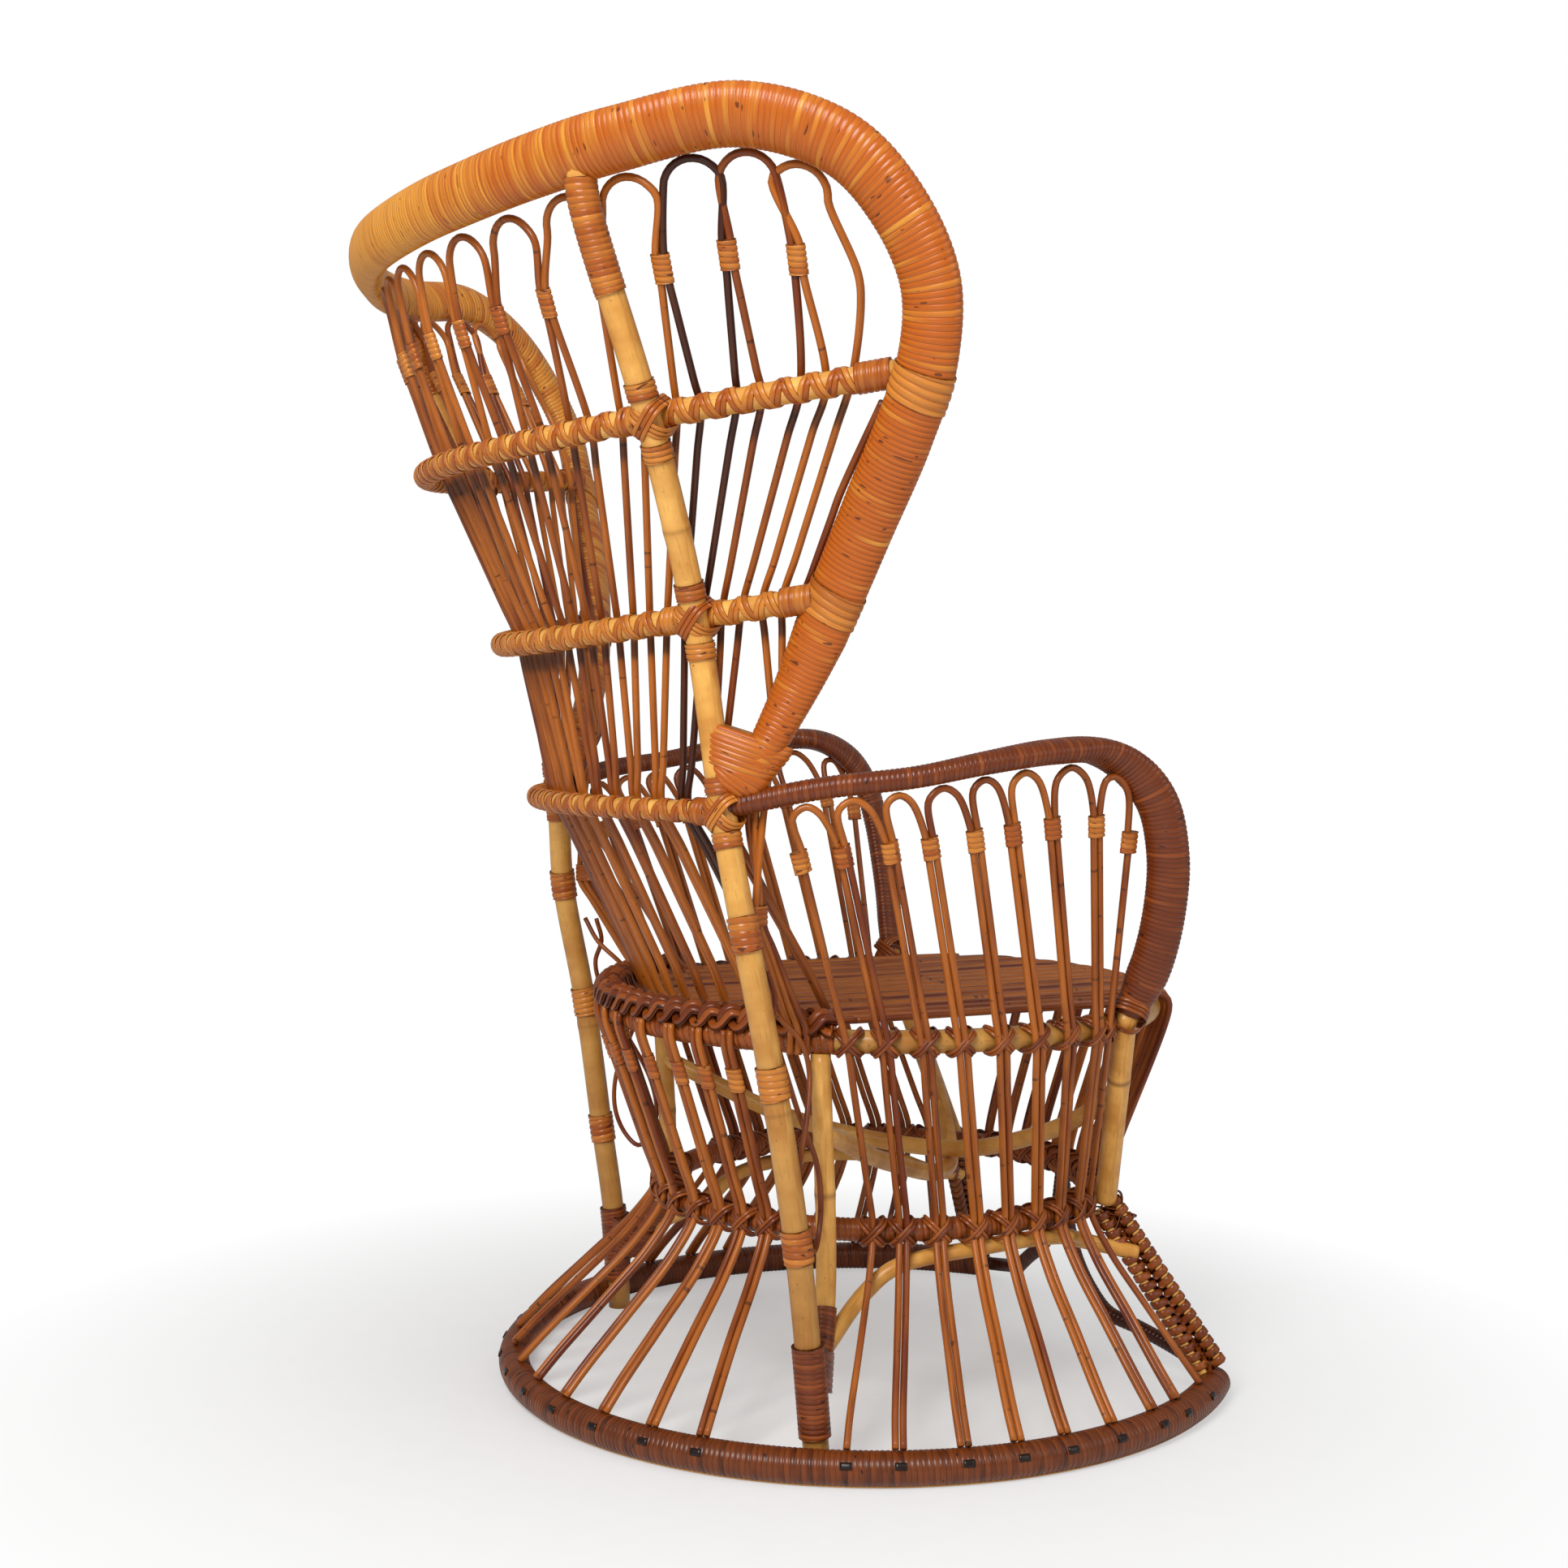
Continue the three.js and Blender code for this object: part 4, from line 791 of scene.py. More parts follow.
upper_line = hoop_line(400, 404, 247, 817.8, 39.5)
lower_line = hoop_line(300, 336, 160.6, 668.6, 30)
tie_line = hoop_line(236, 300, 72, 531, 0)
HOOPS = (("upper_hoop", upper_line, HOOP_RADIUS, 24), ("lower_hoop", lower_line, HOOP_RADIUS, 24),
         ("tie_bar", tie_line, HOOP_RADIUS - 1, 22))
print("upper hoop in mm:", round(lengths(upper_line)[-1]), "lower:", round(lengths(lower_line)[-1]))

# %% Lashed hoops
LASH_PITCH, LASH_WIDE, LASH_THICK = 22.0, 4.6, 0.9
LASH_STEPS = 18


def lashed(path, radius):
    """Doubled strips in crosses over a pole."""
    turns = lengths(path)[-1] / LASH_PITCH - 0.3
    q = np.linspace(0, turns, int(turns * LASH_STEPS) + 1)
    strands = []
    for hand in (1, -1):
        for shift in (0.0, LASH_WIDE):
            centre, u, w = on_path(path, shift + q * LASH_PITCH, BACK_LEAN)
            out = ringed(u, w, hand * 2 * np.pi * q + 0.5 * np.pi * hand)
            strands.append(strip(centre + out * (radius + 0.25 * (hand + 1)), out, LASH_WIDE, LASH_THICK))
    return strands


for name, line, radius, _ in HOOPS:
    stem = pole(line, radius, BACK_LEAN, 200.0, 0.5)
    make_piece(f"{name}_stem", [stem], pole_finish, "cane_binding", name)
    make_piece(f"{name}_lashing", lashed(line, radius + 0.2), lashing_cane, "cane_binding", name)

# %% [markdown]
# ## Lashed crossings
# Where two poles cross, the weaver lays loops of cane over both diagonals, so an X shows on each side,
# and closes it off with three turns on each pole. The loops are rounded rectangles, since they are
# pulled tight round the pair.

# %% Crossing helpers
CROSS_STRIP = 3.8
BAND_PITCH = 4.4


def tight(value):
    """A sine or cosine pulled out towards its ends."""
    return np.sign(value) * np.abs(value) ** 0.7


def crossed(centre, first, second, half_long, half_high, out=None, count=3, width=CROSS_STRIP):
    """Loops of cane over the two diagonals of a crossing."""
    first, second = unit(np.asarray(first, float)), unit(np.asarray(second, float))
    out = unit(np.cross(first, second) if out is None else np.asarray(out, float))
    a = np.linspace(0, 2.05 * np.pi, 32)[:, None]
    strands = []
    for hand in (1, -1):
        way = unit(first + hand * second)
        aside = unit(np.cross(way, out))
        for i in range(count):
            line = (centre + aside * (i - (count - 1) / 2) * width + tight(np.cos(a)) * way * half_long
                    + tight(np.sin(a)) * out * (half_high + 0.45 * hand))
            strands.append(strip(line, np.cos(a) * way + np.sin(a) * out, width, LASH_THICK))
    return strands


print("a lashing strip in mm:", CROSS_STRIP)


# %% Closest places and bands
def crossing(first, second):
    """Where two lines pass closest, the way of each there, and how far apart they are."""
    gaps = np.linalg.norm(first[:, None] - second[None], axis=2)
    i, j = np.unravel_index(np.argmin(gaps), gaps.shape)
    ways = [unit(path[min(k + 2, len(path) - 1)] - path[max(k - 2, 0)])
            for path, k in ((first, i), (second, j))]
    return mix(first[i], second[j], 0.5), *ways, gaps[i, j]


def band(path, middle, radius, turns=3, side=(1, 0, 0)):
    """A few plain turns round a pole, at a distance along it."""
    bound = around_place(path, middle, turns * BAND_PITCH / 2, 8)
    return winding(bound, radius, BAND_PITCH, side, 22, groove=1.1)


def run_at(path, place):
    """How far along a path the point nearest to a place lies."""
    return lengths(path)[np.argmin(np.linalg.norm(path - place, axis=1))]


print("post and upper hoop pass in mm:", round(crossing(post_path, upper_line)[3], 1))


# %% Hoops and tie bar on the posts
KNOT_HALF, KNOT_APART = 17.5, 9.0
for name, line, _, off in HOOPS:
    centre, post_way, hoop_way, apart = crossing(post_path, line)
    knot = crossed(centre, post_way, hoop_way, KNOT_HALF, POST_RADIUS + 1.0 + min(apart / 2, KNOT_APART))
    on_post = run_at(post_path, centre)
    for above in (-off, off):
        knot += band(post_path, on_post + above, POST_RADIUS + 1.6)
    knot += band(line, run_at(line, centre) - off, HOOP_LASHED + 1.0, side=BACK_LEAN)
    make_pair(f"{name}_knots", knot, lashing_cane, "cane_binding", "back_post")

# %% Hoop ends on the rim
RIM_WRAP = (RIM_HALF_WIDE + 1.2, RIM_HALF_THIN + 1.2)
RIM_WRAP_HALF, RIM_WRAP_PITCH = 13.0, 6.2
HOOP_END = 16.0
for name, line, _, _ in HOOPS[:2]:
    ends = band(line, lengths(line)[-1] - HOOP_END, HOOP_LASHED + 1.3, 6, BACK_LEAN)
    on_rim = run_at(crown_first, crossing(crown_first, line)[0])
    around = around_place(crown_first, on_rim, RIM_WRAP_HALF, 9)
    ends += winding(around, RIM_WRAP, RIM_WRAP_PITCH, heart - around, 32, groove=1.4)
    make_pair(f"{name}_end_wraps", ends, lashing_cane, "cane_binding", name, False)

# %% Rim end on the post
JUNCTION_LOW, JUNCTION_RIM, JUNCTION_TOP, JUNCTION_ROUND = 550.0, 562.0, 594.0, 0.2
JUNCTION_BENDS = (JUNCTION_LOW, JUNCTION_RIM, JUNCTION_TOP)
junction_heights = np.linspace(JUNCTION_LOW, JUNCTION_TOP, 24)
low_rim = crown_first[len(crown_first) // 2:]
to_rim = np.array([at_height(low_rim, z) - at_height(post_path, z)
                   for z in np.maximum(junction_heights, JUNCTION_RIM)])
apart_from_rim = np.linalg.norm(to_rim, axis=1)
apart_from_rim = apart_from_rim * np.interp(junction_heights, JUNCTION_BENDS, (0.5, 1.0, 1.0))
rim_edge = np.interp(junction_heights, JUNCTION_BENDS, (6.0, 13.0, 20.0))
junction_half = (apart_from_rim + rim_edge + POST_RADIUS) / 2 + 1.5
junction_centre = (between_heights(post_path, JUNCTION_LOW, JUNCTION_TOP, 24)
                   + unit(to_rim) * (apart_from_rim + rim_edge - POST_RADIUS)[:, None] / 2)


def even_steps(share, values):
    """A value at a share of the way through evenly spaced values."""
    return np.interp(share, np.linspace(0, 1, len(values)), values)


def junction_size(share):
    """Wide enough to take in the rim's end and the post, and drawn in round at both ends."""
    full = np.sqrt(np.clip(np.minimum(share, 1 - share) / JUNCTION_ROUND, 0, 1))
    return (even_steps(share, junction_half) * mix(0.88, 1, full),
            mix(POST_RADIUS - 2.0, POST_RADIUS + 4.5, full))


junction = winding(junction_centre, junction_size, 4.6, to_rim, 32, groove=1.0)
make_pair("rim_end_junction", junction, honey_cane, "cane_binding", "top_rim", False)

# %% Post heads under the rim
HEAD_LOW, HEAD_HIGH = 922.0, 1000.0
head_from, head_to = (run_at(post_path, at_height(post_path, z)) for z in (HEAD_LOW, HEAD_HIGH))
head = around_place(post_path, (head_from + head_to) / 2, (head_to - head_from) / 2, 24)
head_winding = winding(head, POST_RADIUS + 1.7, BAND_PITCH, (1, 0, 0), 22, 0.6)
make_pair("back_post_head_winding", head_winding, lashing_cane, "cane_binding", "back_post")

# %% [markdown]
# ## The reeds of the back
# Eighteen reeds hang from the rim as narrow arches, like hairpins. Each leg of a hairpin is tied to a
# leg of its neighbour some 75 mm under the rim, then both part, pass inside the two hoops and the tie
# bar, and land on the seat. They are drawn as smooth lines through the same places as in the frame.

# %% Places of the back reeds
REED = 3.0
HAIRPINS = 9
END_REED = 2 * HAIRPINS
HAIRPIN_SHARES = [0.027, 0.081, 0.139, 0.201, 0.267, 0.325, 0.377, 0.427, 0.477, 0.53]
HAIRPIN_PITCH = 29.0
REED_GAP = REED + SNUG / 2
HOOP_SNUG = 1.3
HOOP_PAIR = 0.2
LAST_REED_IN = 0.42
UPPER_PAIRS = 9.3
HOOP_OVER, TIE_OVER = 10.5, 9.5
upper_arc = lengths(upper_line)[-1] / 2
lower_arc = lengths(lower_line)[-1] / 2


print("half of each hoop in mm:", round(upper_arc), round(lower_arc))


# %% Where a leg passes the hoops and the tie bar
def outer_half(line):
    """The half of a hoop on the sitter's left, from its middle."""
    return line[len(line) // 2:]


def inside_hoop(line, distance, radius):
    """A place on the inner side of a hoop, that far from its middle."""
    point, way = along(outer_half(line), abs(distance))
    inward = unit(np.cross(way, BACK_LEAN))
    return point - inward * np.sign(inward[1]) * (radius + REED + HOOP_SNUG)


def at_upper(leg):
    """Where a leg passes the upper hoop; two legs of neighbours pass it as a pair."""
    pair = math.ceil(leg / 2)
    step = -LAST_REED_IN if leg == END_REED - 1 else (-HOOP_PAIR if leg % 2 else HOOP_PAIR)
    return inside_hoop(upper_line, (pair + step) * upper_arc / UPPER_PAIRS, HOOP_OVER)


def at_lower(leg):
    """Where a leg passes the lower hoop."""
    return inside_hoop(lower_line, (leg + 0.5) * lower_arc / (END_REED + 1.5), HOOP_OVER)


def beside(leg):
    """How far a leg lies to the side of the middle of its pair."""
    return REED_GAP if leg % 2 else -REED_GAP


def at_tie(leg):
    """Where a leg passes the tie bar, beside the other leg of its hairpin."""
    half = outer_half(tie_line)
    x = (leg // 2 + 0.5) * HAIRPIN_PITCH + beside(leg)
    return inside_hoop(tie_line, np.interp(x, half[:, 0], lengths(half)), TIE_OVER)


print("the first reed passes the upper hoop at", at_upper(0).round(1), "mm")


# %% Landing on the seat
DECK_LEVEL = SEAT_HEIGHT + SEAT_POLE + SNUG + REED
DECK_PITCH = 25.0
REED_SHIFT = 7.0
ARCH_RISE = RIM_HALF_WIDE + SNUG + REED + 1.0
ARCH_SHARE = 0.42
ARCH_DEGREES = [10, 35, 62, 90, 118, 145, 170]
NECK_DROP, NECK_HALF = 75.0, 11.0
LANDING_RUN = 18


def deck_x(k):
    """How far from the middle a pair of seat reeds lies."""
    return (k + 0.5) * DECK_PITCH


def landing_y(x):
    """Where the back reeds reach the seat."""
    return SEAT_Y + (SEAT_RADIUS - 52) * math.sqrt(1 - (x / (0.9 * SEAT_RADIUS)) ** 2)


def landing(leg):
    """The last two places of a leg of the back."""
    x = deck_x(leg // 2)
    y = landing_y(x)
    x += beside(leg)
    return [np.array([x, y + LANDING_RUN, DECK_LEVEL + 2]), np.array([x, y, DECK_LEVEL])]


print("the first reed lands on the seat at", landing(0)[1].round(1), "mm")


# %% Bends and neck ties
def hairpin_bend(k):
    """The bend of a hairpin under the rim."""
    point, way = along(crown_first, HAIRPIN_SHARES[k] * half_rim)
    point = point - unit(np.cross(way, heart - point)) * REED_SHIFT
    down = mix(at_upper(2 * k), at_upper(2 * k + 1), 0.5) - point
    down = unit(down - way * np.dot(down, way))
    before = HAIRPIN_SHARES[k - 1] if k else -HAIRPIN_SHARES[0]
    wide = ARCH_SHARE * (HAIRPIN_SHARES[k + 1] - before) * half_rim / 2
    return [point - way * wide * math.cos(a) + down * (ARCH_RISE + wide * (1 - math.sin(a)))
            for a in np.radians(ARCH_DEGREES)]


def neck(leg):
    """The two places where a leg enters and leaves its neck tie."""
    tie = math.ceil(leg / 2)
    middle = mix(at_upper(2 * tie - 1), at_upper(2 * tie), 0.5) if tie else at_upper(0) * (0, 1, 1)
    share = (HAIRPIN_SHARES[tie - 1] + HAIRPIN_SHARES[tie]) / 2 if tie else 0
    point, way = along(crown_first, share * half_rim)
    down = unit(middle - point)
    across = way if tie else np.array([1.0, 0, 0])
    across = unit(across - down * np.dot(across, down))
    centre = point + down * (RIM_HALF_WIDE + NECK_DROP)
    return [centre + down * d - across * beside(leg) for d in (-NECK_HALF, NECK_HALF)]


def back_leg(leg):
    """A whole leg, from its neck tie down to the seat."""
    return [*neck(leg), at_upper(leg), at_lower(leg), at_tie(leg), *landing(leg)]


print("the first neck tie lies at", neck(0)[0].round(1), "mm")


# %% Wing reeds
WING_IN = np.array([-0.63, -0.77, 0.0])
WING_ASIDE = np.array([0.77, -0.63, 0.0])
WING_LAND = (49.2, 50.7, 52.2)
WING_PITCH = 2 * REED + 0.6
WING_PAST_RIM, WING_ALONG_ARM, WING_TIED, WING_TIE_LONG = 590.0, 26.0, 440.0, 16.0
BINDING_REACH = (POST_RADIUS + SNUG + 1.5) / math.cos(math.pi / 8) + 0.25 + 1.5
REED_CORNER = REED * math.sqrt(2)
REED_OFF = REED + 0.5


def wing_line(i):
    """Past the rim, the arm and the leg to the seat ring, three reeds side by side."""
    arm_place, arm_place_way = along(arm_path, WING_ALONG_ARM)
    leg_side = at_height(post_path, WING_TIED)
    off_leg = WING_IN * (BINDING_REACH + REED_OFF + i * WING_PITCH)
    aside = (i - 1) * WING_PITCH
    seat_off = SEAT_RADIUS + SEAT_POLE + REED_CORNER + SNUG
    off_arm = unit(np.cross(arm_place_way, (0, 0, 1))) * (ARM_ROUND + REED_OFF)
    return [
        at_height(low_rim, WING_PAST_RIM) + WING_IN * (RIM_HALF_THIN + REED_OFF) + WING_ASIDE * aside,
        arm_place + off_arm - arm_place_way * aside,
        leg_side + (0, 0, WING_TIE_LONG) + off_leg,
        leg_side + off_leg,
        *(polar(seat_off, WING_LAND[i], SEAT_HEIGHT + rise) for rise in (SEAT_POLE, -SEAT_POLE)),
    ]


def beside_rim(share, off):
    """A place beside the rim's flat side."""
    point, way = along(crown_first, share * half_rim)
    toward = heart - point
    toward = unit(toward - way * np.dot(toward, way))
    return point + toward * (RIM_HALF_WIDE + SNUG + off)


print("the wing reeds pass the seat ring at", wing_line(1)[-1].round(1), "mm")


# %% Back reeds
DARK_HAIRPIN = 6
# Painted shadow: under each hoop the reeds are drawn nearly black for a finger's breadth.
HOOP_SHADOW_MM = 12.0
HOOP_SHADOW_DARK, DARK_REED = 0.68, 0.8
BACK_DEEP = -312.0
NECK_WIDE, NECK_THIN = 2 * REED + 1.7, REED + 1.4


def painted_hoop_shadow(path):
    """Painted shadow of the hoops: nearly black for a finger's breadth under each hoop."""
    stain = np.zeros(len(path))
    for half in (outer_half(upper_line), outer_half(lower_line)):
        under = np.interp(np.abs(path[:, 0]), half[:, 0], half[:, 2]) - HOOP_LASHED - path[:, 2]
        stain = np.maximum(stain, eased(under, -6, -2) * (1 - eased(under, HOOP_SHADOW_MM - 3, HOOP_SHADOW_MM + 2)))
    return HOOP_SHADOW_DARK * stain


def reed(points, dark=False):
    """One reed of the back through its places; it faces the back, so that it never twists."""
    path = smooth(taut(points), 5.0)
    facing = path * (-1, 0, 0) + (0, BACK_DEEP, 0)
    return tube(path, REED, facing, 10, None, np.maximum(painted_hoop_shadow(path), DARK_REED * dark))


def hairpin(k):
    """Down one leg, round the bend and down the other."""
    first, second = 2 * k, 2 * k + 1
    if k < HAIRPINS - 1:
        return [*back_leg(first)[::-1], *hairpin_bend(k), *back_leg(second)]
    legs = [[*neck(leg), at_upper(leg), at_lower(leg), *wing_line(leg - first)] for leg in (first, second)]
    return [*legs[0][::-1], *hairpin_bend(k), *legs[1]]


def tie_around(a, b, half_wide=NECK_WIDE, half_thin=NECK_THIN, turns=5):
    """Cane wound round two reeds between their two pairs of places."""
    path = even(np.array([mix(a[i], b[i], 0.5) for i in (0, 1)]), 2.0)
    return winding(path, (half_wide, half_thin), lengths(path)[-1] / turns, b[0] - a[0], 18, groove=0.9)


for k in range(0, HAIRPINS - 1, 2):
    reeds = [reed(hairpin(k)), reed(hairpin(k + 1))]
    tie = tie_around(neck(2 * k + 1), neck(2 * k + 2)) + tie_around(neck(2 * k + 3), neck(2 * k + 4))
    node = f"back_reeds_{k // 2 + 1}"
    make_piece(f"{node}_strands_left", reeds, reed_finish, "reed", f"{node}_left")
    right = mirrored([reed(hairpin(k), k == DARK_HAIRPIN), reed(hairpin(k + 1))])
    make_piece(f"{node}_strands_right", right, reed_finish, "reed", f"{node}_right")
    make_pair(f"{node}_neck_ties", tie, lashing_cane, "reed", node)

# %% Reeds of the wings
end_points = [beside_rim(0.7, 0), beside_rim(0.78, REED_CORNER), at_lower(END_REED), *wing_line(2)]
wing_strands = [reed(hairpin(HAIRPINS - 1)), reed(end_points)]
make_pair("wing_reeds_strands", wing_strands, reed_finish, "reed", "wing_reeds")
wing_tie = tie_around(wing_line(0)[2:4], wing_line(2)[2:4], 3 * REED + 2.2, REED + 1.5, 4)
make_pair("wing_reeds_ties", wing_tie, lashing_cane, "reed", "wing_reeds")
centre_tie = tie_around(neck(0), flip(neck(0)))
make_piece("back_reeds_centre_tie", centre_tie, lashing_cane, "reed", "back_reeds_1_left")

# %% [markdown]
# ## Reeds under the arms and the skirt
# Under each arm hang arches of reed. Their legs are tied in pairs, cross the seat ring and the waist
# ring outside, and flare out to the base ring. In the rear a skirt of pairs does the same from the
# seat ring down. In the frame a pair is one flat strip; here it becomes two round reeds.

# %% Lines under the arms
ARM_RAIL_SHARES = [0.085, 0.145, 0.212, 0.268, 0.335, 0.393, 0.462, 0.547, 0.62]
ARM_SEAT = [59.7, 66.4, 73.6, 80.3, 87.9, 95.4, 102.6, 109.8, 113]
ARM_WAIST = [63.8, 70.8, 79.3, 88.5, 96.8, 105.6, 114, 122.3, 128.5]
ARM_BASE = [63.2, 70.5, 79.7, 87.6, 95.2, 103.8, 112.8, 119.2, 128.1]
FLARE_SHARES = ((0.2, 0.77), (0.56, 0.52), (0.9, 0.29))
PAIR_HALF = 3.15
seat_contact = SEAT_RADIUS + SEAT_POLE + REED + 0.8
waist_contact = WAIST_RADIUS + WAIST_POLE + REED + 0.8


def below_seat(seat, waist, base_angle):
    """Over the seat ring and the waist ring, and out to the top of the base ring."""
    flare = [polar(mix(waist_contact, BASE_RADIUS - BASE_POLE / 2, out), mix(waist, base_angle, out),
                   h * WAIST_HEIGHT, mix(SEAT_Y, 0, out)) for out, h in FLARE_SHARES]
    return [polar(seat_contact, seat, SEAT_HEIGHT - SEAT_POLE / 2),
            *(polar(waist_contact, waist, WAIST_HEIGHT + rise) for rise in (WAIST_POLE, -4)),
            *flare, polar(BASE_RADIUS, base_angle, 2 * BASE_POLE + 1.5, 0)]


def aside_line(path, offset):
    """The same line, moved sideways round the chair."""
    round_chair = np.stack([SEAT_Y - path[:, 1], path[:, 0], np.zeros(len(path))], axis=1)
    return path + frames(path, round_chair)[0] * offset


def reed_pair(points, single=False):
    """Two round reeds side by side, or one."""
    path = smooth(taut(points), 5.0)
    outward = path * (1, 1, 0) - (0, SEAT_Y, 0)
    offsets = (0.0,) if single else (-PAIR_HALF, PAIR_HALF)
    return [tube(aside_line(path, o), REED, outward) for o in offsets]


def pair_tie(places, way):
    """Cane wound round a pair of reeds that lie beside each other that way."""
    return tie_around(*[[p + way * s * PAIR_HALF for p in places] for s in (-1, 1)], turns=4)


print("lines under each arm:", len(ARM_SEAT), "touching the seat ring at", seat_contact, "mm")


# %% Arches under the arms
ARM_TIE_SHARE, ARM_TIE_HALF, ARM_TIE_ASIDE = 0.26, 9.0, 3.6
ARM_ARCH_SHARE, ARM_ARCH_FALL = 0.36, 0.62


def arm_neck(i, aside=0.0):
    """The tie of a pair under the arm."""
    rail, way = along(arm_path, ARM_RAIL_SHARES[i] * arm_length)
    top = rail + way * aside
    at_seat = polar(SEAT_RADIUS + SEAT_POLE + REED + SNUG, ARM_SEAT[i], SEAT_HEIGHT)
    centre = mix(top, at_seat, ARM_TIE_SHARE)
    down = unit(centre - top)
    return [centre - down * ARM_TIE_HALF, centre + down * ARM_TIE_HALF]


def arm_arch(i):
    """From one tie up, under the rail and down to the next."""
    a, b = arm_neck(i, ARM_TIE_ASIDE), arm_neck(i + 1, -ARM_TIE_ASIDE)
    between = (ARM_RAIL_SHARES[i] + ARM_RAIL_SHARES[i + 1]) / 2
    point, way = along(arm_path, between * arm_length)
    crown = point - np.array([0, 0, arm_size(np.array([between]))[1][0] + REED_OFF])
    quarter = np.linalg.norm(a[0] - b[0]) * ARM_ARCH_SHARE
    fall = np.array([0, 0, quarter * ARM_ARCH_FALL])
    shoulders = [crown + way * s * quarter - fall for s in (-1, 1)]
    return smooth([a[1], a[0], shoulders[0], crown, shoulders[1], b[0], b[1]], 4.0)


for number, lines in enumerate(((0, 1, 2), (3, 4), (5, 6), (7, 8)), 1):
    strands = []
    ties = []
    for i in lines:
        places = arm_neck(i)
        strands += reed_pair([*places, *below_seat(ARM_SEAT[i], ARM_WAIST[i], ARM_BASE[i])], i in (0, 8))
        if i < 8:
            arch_line = arm_arch(i)
            strands.append(tube(arch_line, REED, arch_line * (1, 0, 0)))
        ties += pair_tie(places, np.array([0, 1, 0]))
    make_pair(f"arm_reeds_{number}_strands", strands, reed_finish, "reed", f"arm_reeds_{number}")
    make_pair(f"arm_reeds_{number}_ties", ties, lashing_cane, "reed", f"arm_reeds_{number}")

# %% Rear skirt
SKIRT = list(zip([4.5, 13.5, 22.5, 29.5, 36.5], [4.5, 14.5, 24, 31, 38], [5, 14.5, 24.2, 33.7, 42.3]))
SKIRT_TIES = (0.14, 0.27)
skirt_strands = []
skirt_ties = []
for seat, waist, base_angle in SKIRT:
    top = polar(seat_contact, seat, SEAT_HEIGHT + 6)
    skirt_strands += reed_pair([top, *below_seat(seat, waist, base_angle)])
    places = [polar(mix(seat_contact, waist_contact, s), mix(seat, waist, s),
                    mix(SEAT_HEIGHT - SEAT_POLE / 2, WAIST_HEIGHT + WAIST_POLE, s)) for s in SKIRT_TIES]
    skirt_ties += pair_tie(places, polar(1, 90 + seat, 0, 0))
make_pair("rear_skirt_strands", skirt_strands, reed_finish, "reed", "rear_skirt")
make_pair("rear_skirt_ties", skirt_ties, lashing_cane, "reed", "rear_skirt")

# %% Painted shade in the reed holes of the base ring
HOLE_DEGREES = np.linspace(-1, 1, 5) * 0.8
HOLE_OUT, HOLE_HEIGHT, HOLE_WIDE, HOLE_THICK = 12.6, 20.0, 6.0, 1.2
hole_shade_strips = []
for angle in (*ARM_BASE, *(base_angle for _, _, base_angle in SKIRT)):
    hole = np.array([polar(BASE_RADIUS + HOLE_OUT, angle + d, HOLE_HEIGHT, 0) for d in HOLE_DEGREES])
    # Each hole is a strip in the darkest colour: painted shade inside the hole where the reed goes into the
    # ring.
    hole_shade_strips.append(strip(hole, unit(hole * (1, 1, 0)) + (0, 0, 0.5), HOLE_WIDE, HOLE_THICK, stain=1.0))
make_pair("base_ring_reed_hole_shade", hole_shade_strips, base_cane, "dark_binding", "base_ring", False)

# %% Lashings of the reeds
APRON_REEDS, APRON_PITCH = 6, 6.0
APRON_ANGLES = [180 - (k + 0.5) * APRON_PITCH for k in range(APRON_REEDS)]
LASHING_LONG, LASHING_HIGH, LASHING_STRIP = 4.6, REED + 1.2, 3.2


def ring_lashings(angles, radius, height, pole_radius):
    """An X over each pair of reeds and the ring behind it."""
    strands = []
    for angle in angles:
        out = unit(polar(1, angle, 0, 0))
        centre = polar(radius + REED + SNUG, angle, height)
        strands += crossed(centre, UP, np.cross(out, UP), pole_radius + LASHING_LONG,
                           pole_radius + LASHING_HIGH, out, 2, LASHING_STRIP)
    return strands


seat_lashings = ring_lashings(ARM_SEAT, SEAT_RADIUS, SEAT_HEIGHT, SEAT_POLE)
waist_angles = (*ARM_WAIST, *(waist for _, waist, _ in SKIRT), *APRON_ANGLES)
waist_lashings = ring_lashings(waist_angles, WAIST_RADIUS, WAIST_HEIGHT, WAIST_POLE)
seat_lashings += crossed(mix(arm_end, leg_top, 0.5), arm_way, np.cross(arm_way, ARM_FLARE), 17, 15)
for node, knots in (("seat_ring", seat_lashings), ("waist_ring", waist_lashings)):
    make_pair(f"{node}_lashings", knots, strut_cane, "cane_binding", node, False)

# %% [markdown]
# ## Seat reeds
# The reeds of the back turn forward over the seat as pairs, pass over the front of the seat ring, and
# the middle ones run on down to the waist ring like an apron.

# %% Seat reeds
DECK_REACH = SEAT_POLE + SNUG + REED
PAIR_SLACK = 6.2


def front_of(x, wider):
    """Where a wider circle than the seat ring passes the inner reed of a pair."""
    return SEAT_Y - math.sqrt((SEAT_RADIUS + wider) ** 2 - (x - PAIR_SLACK) ** 2)


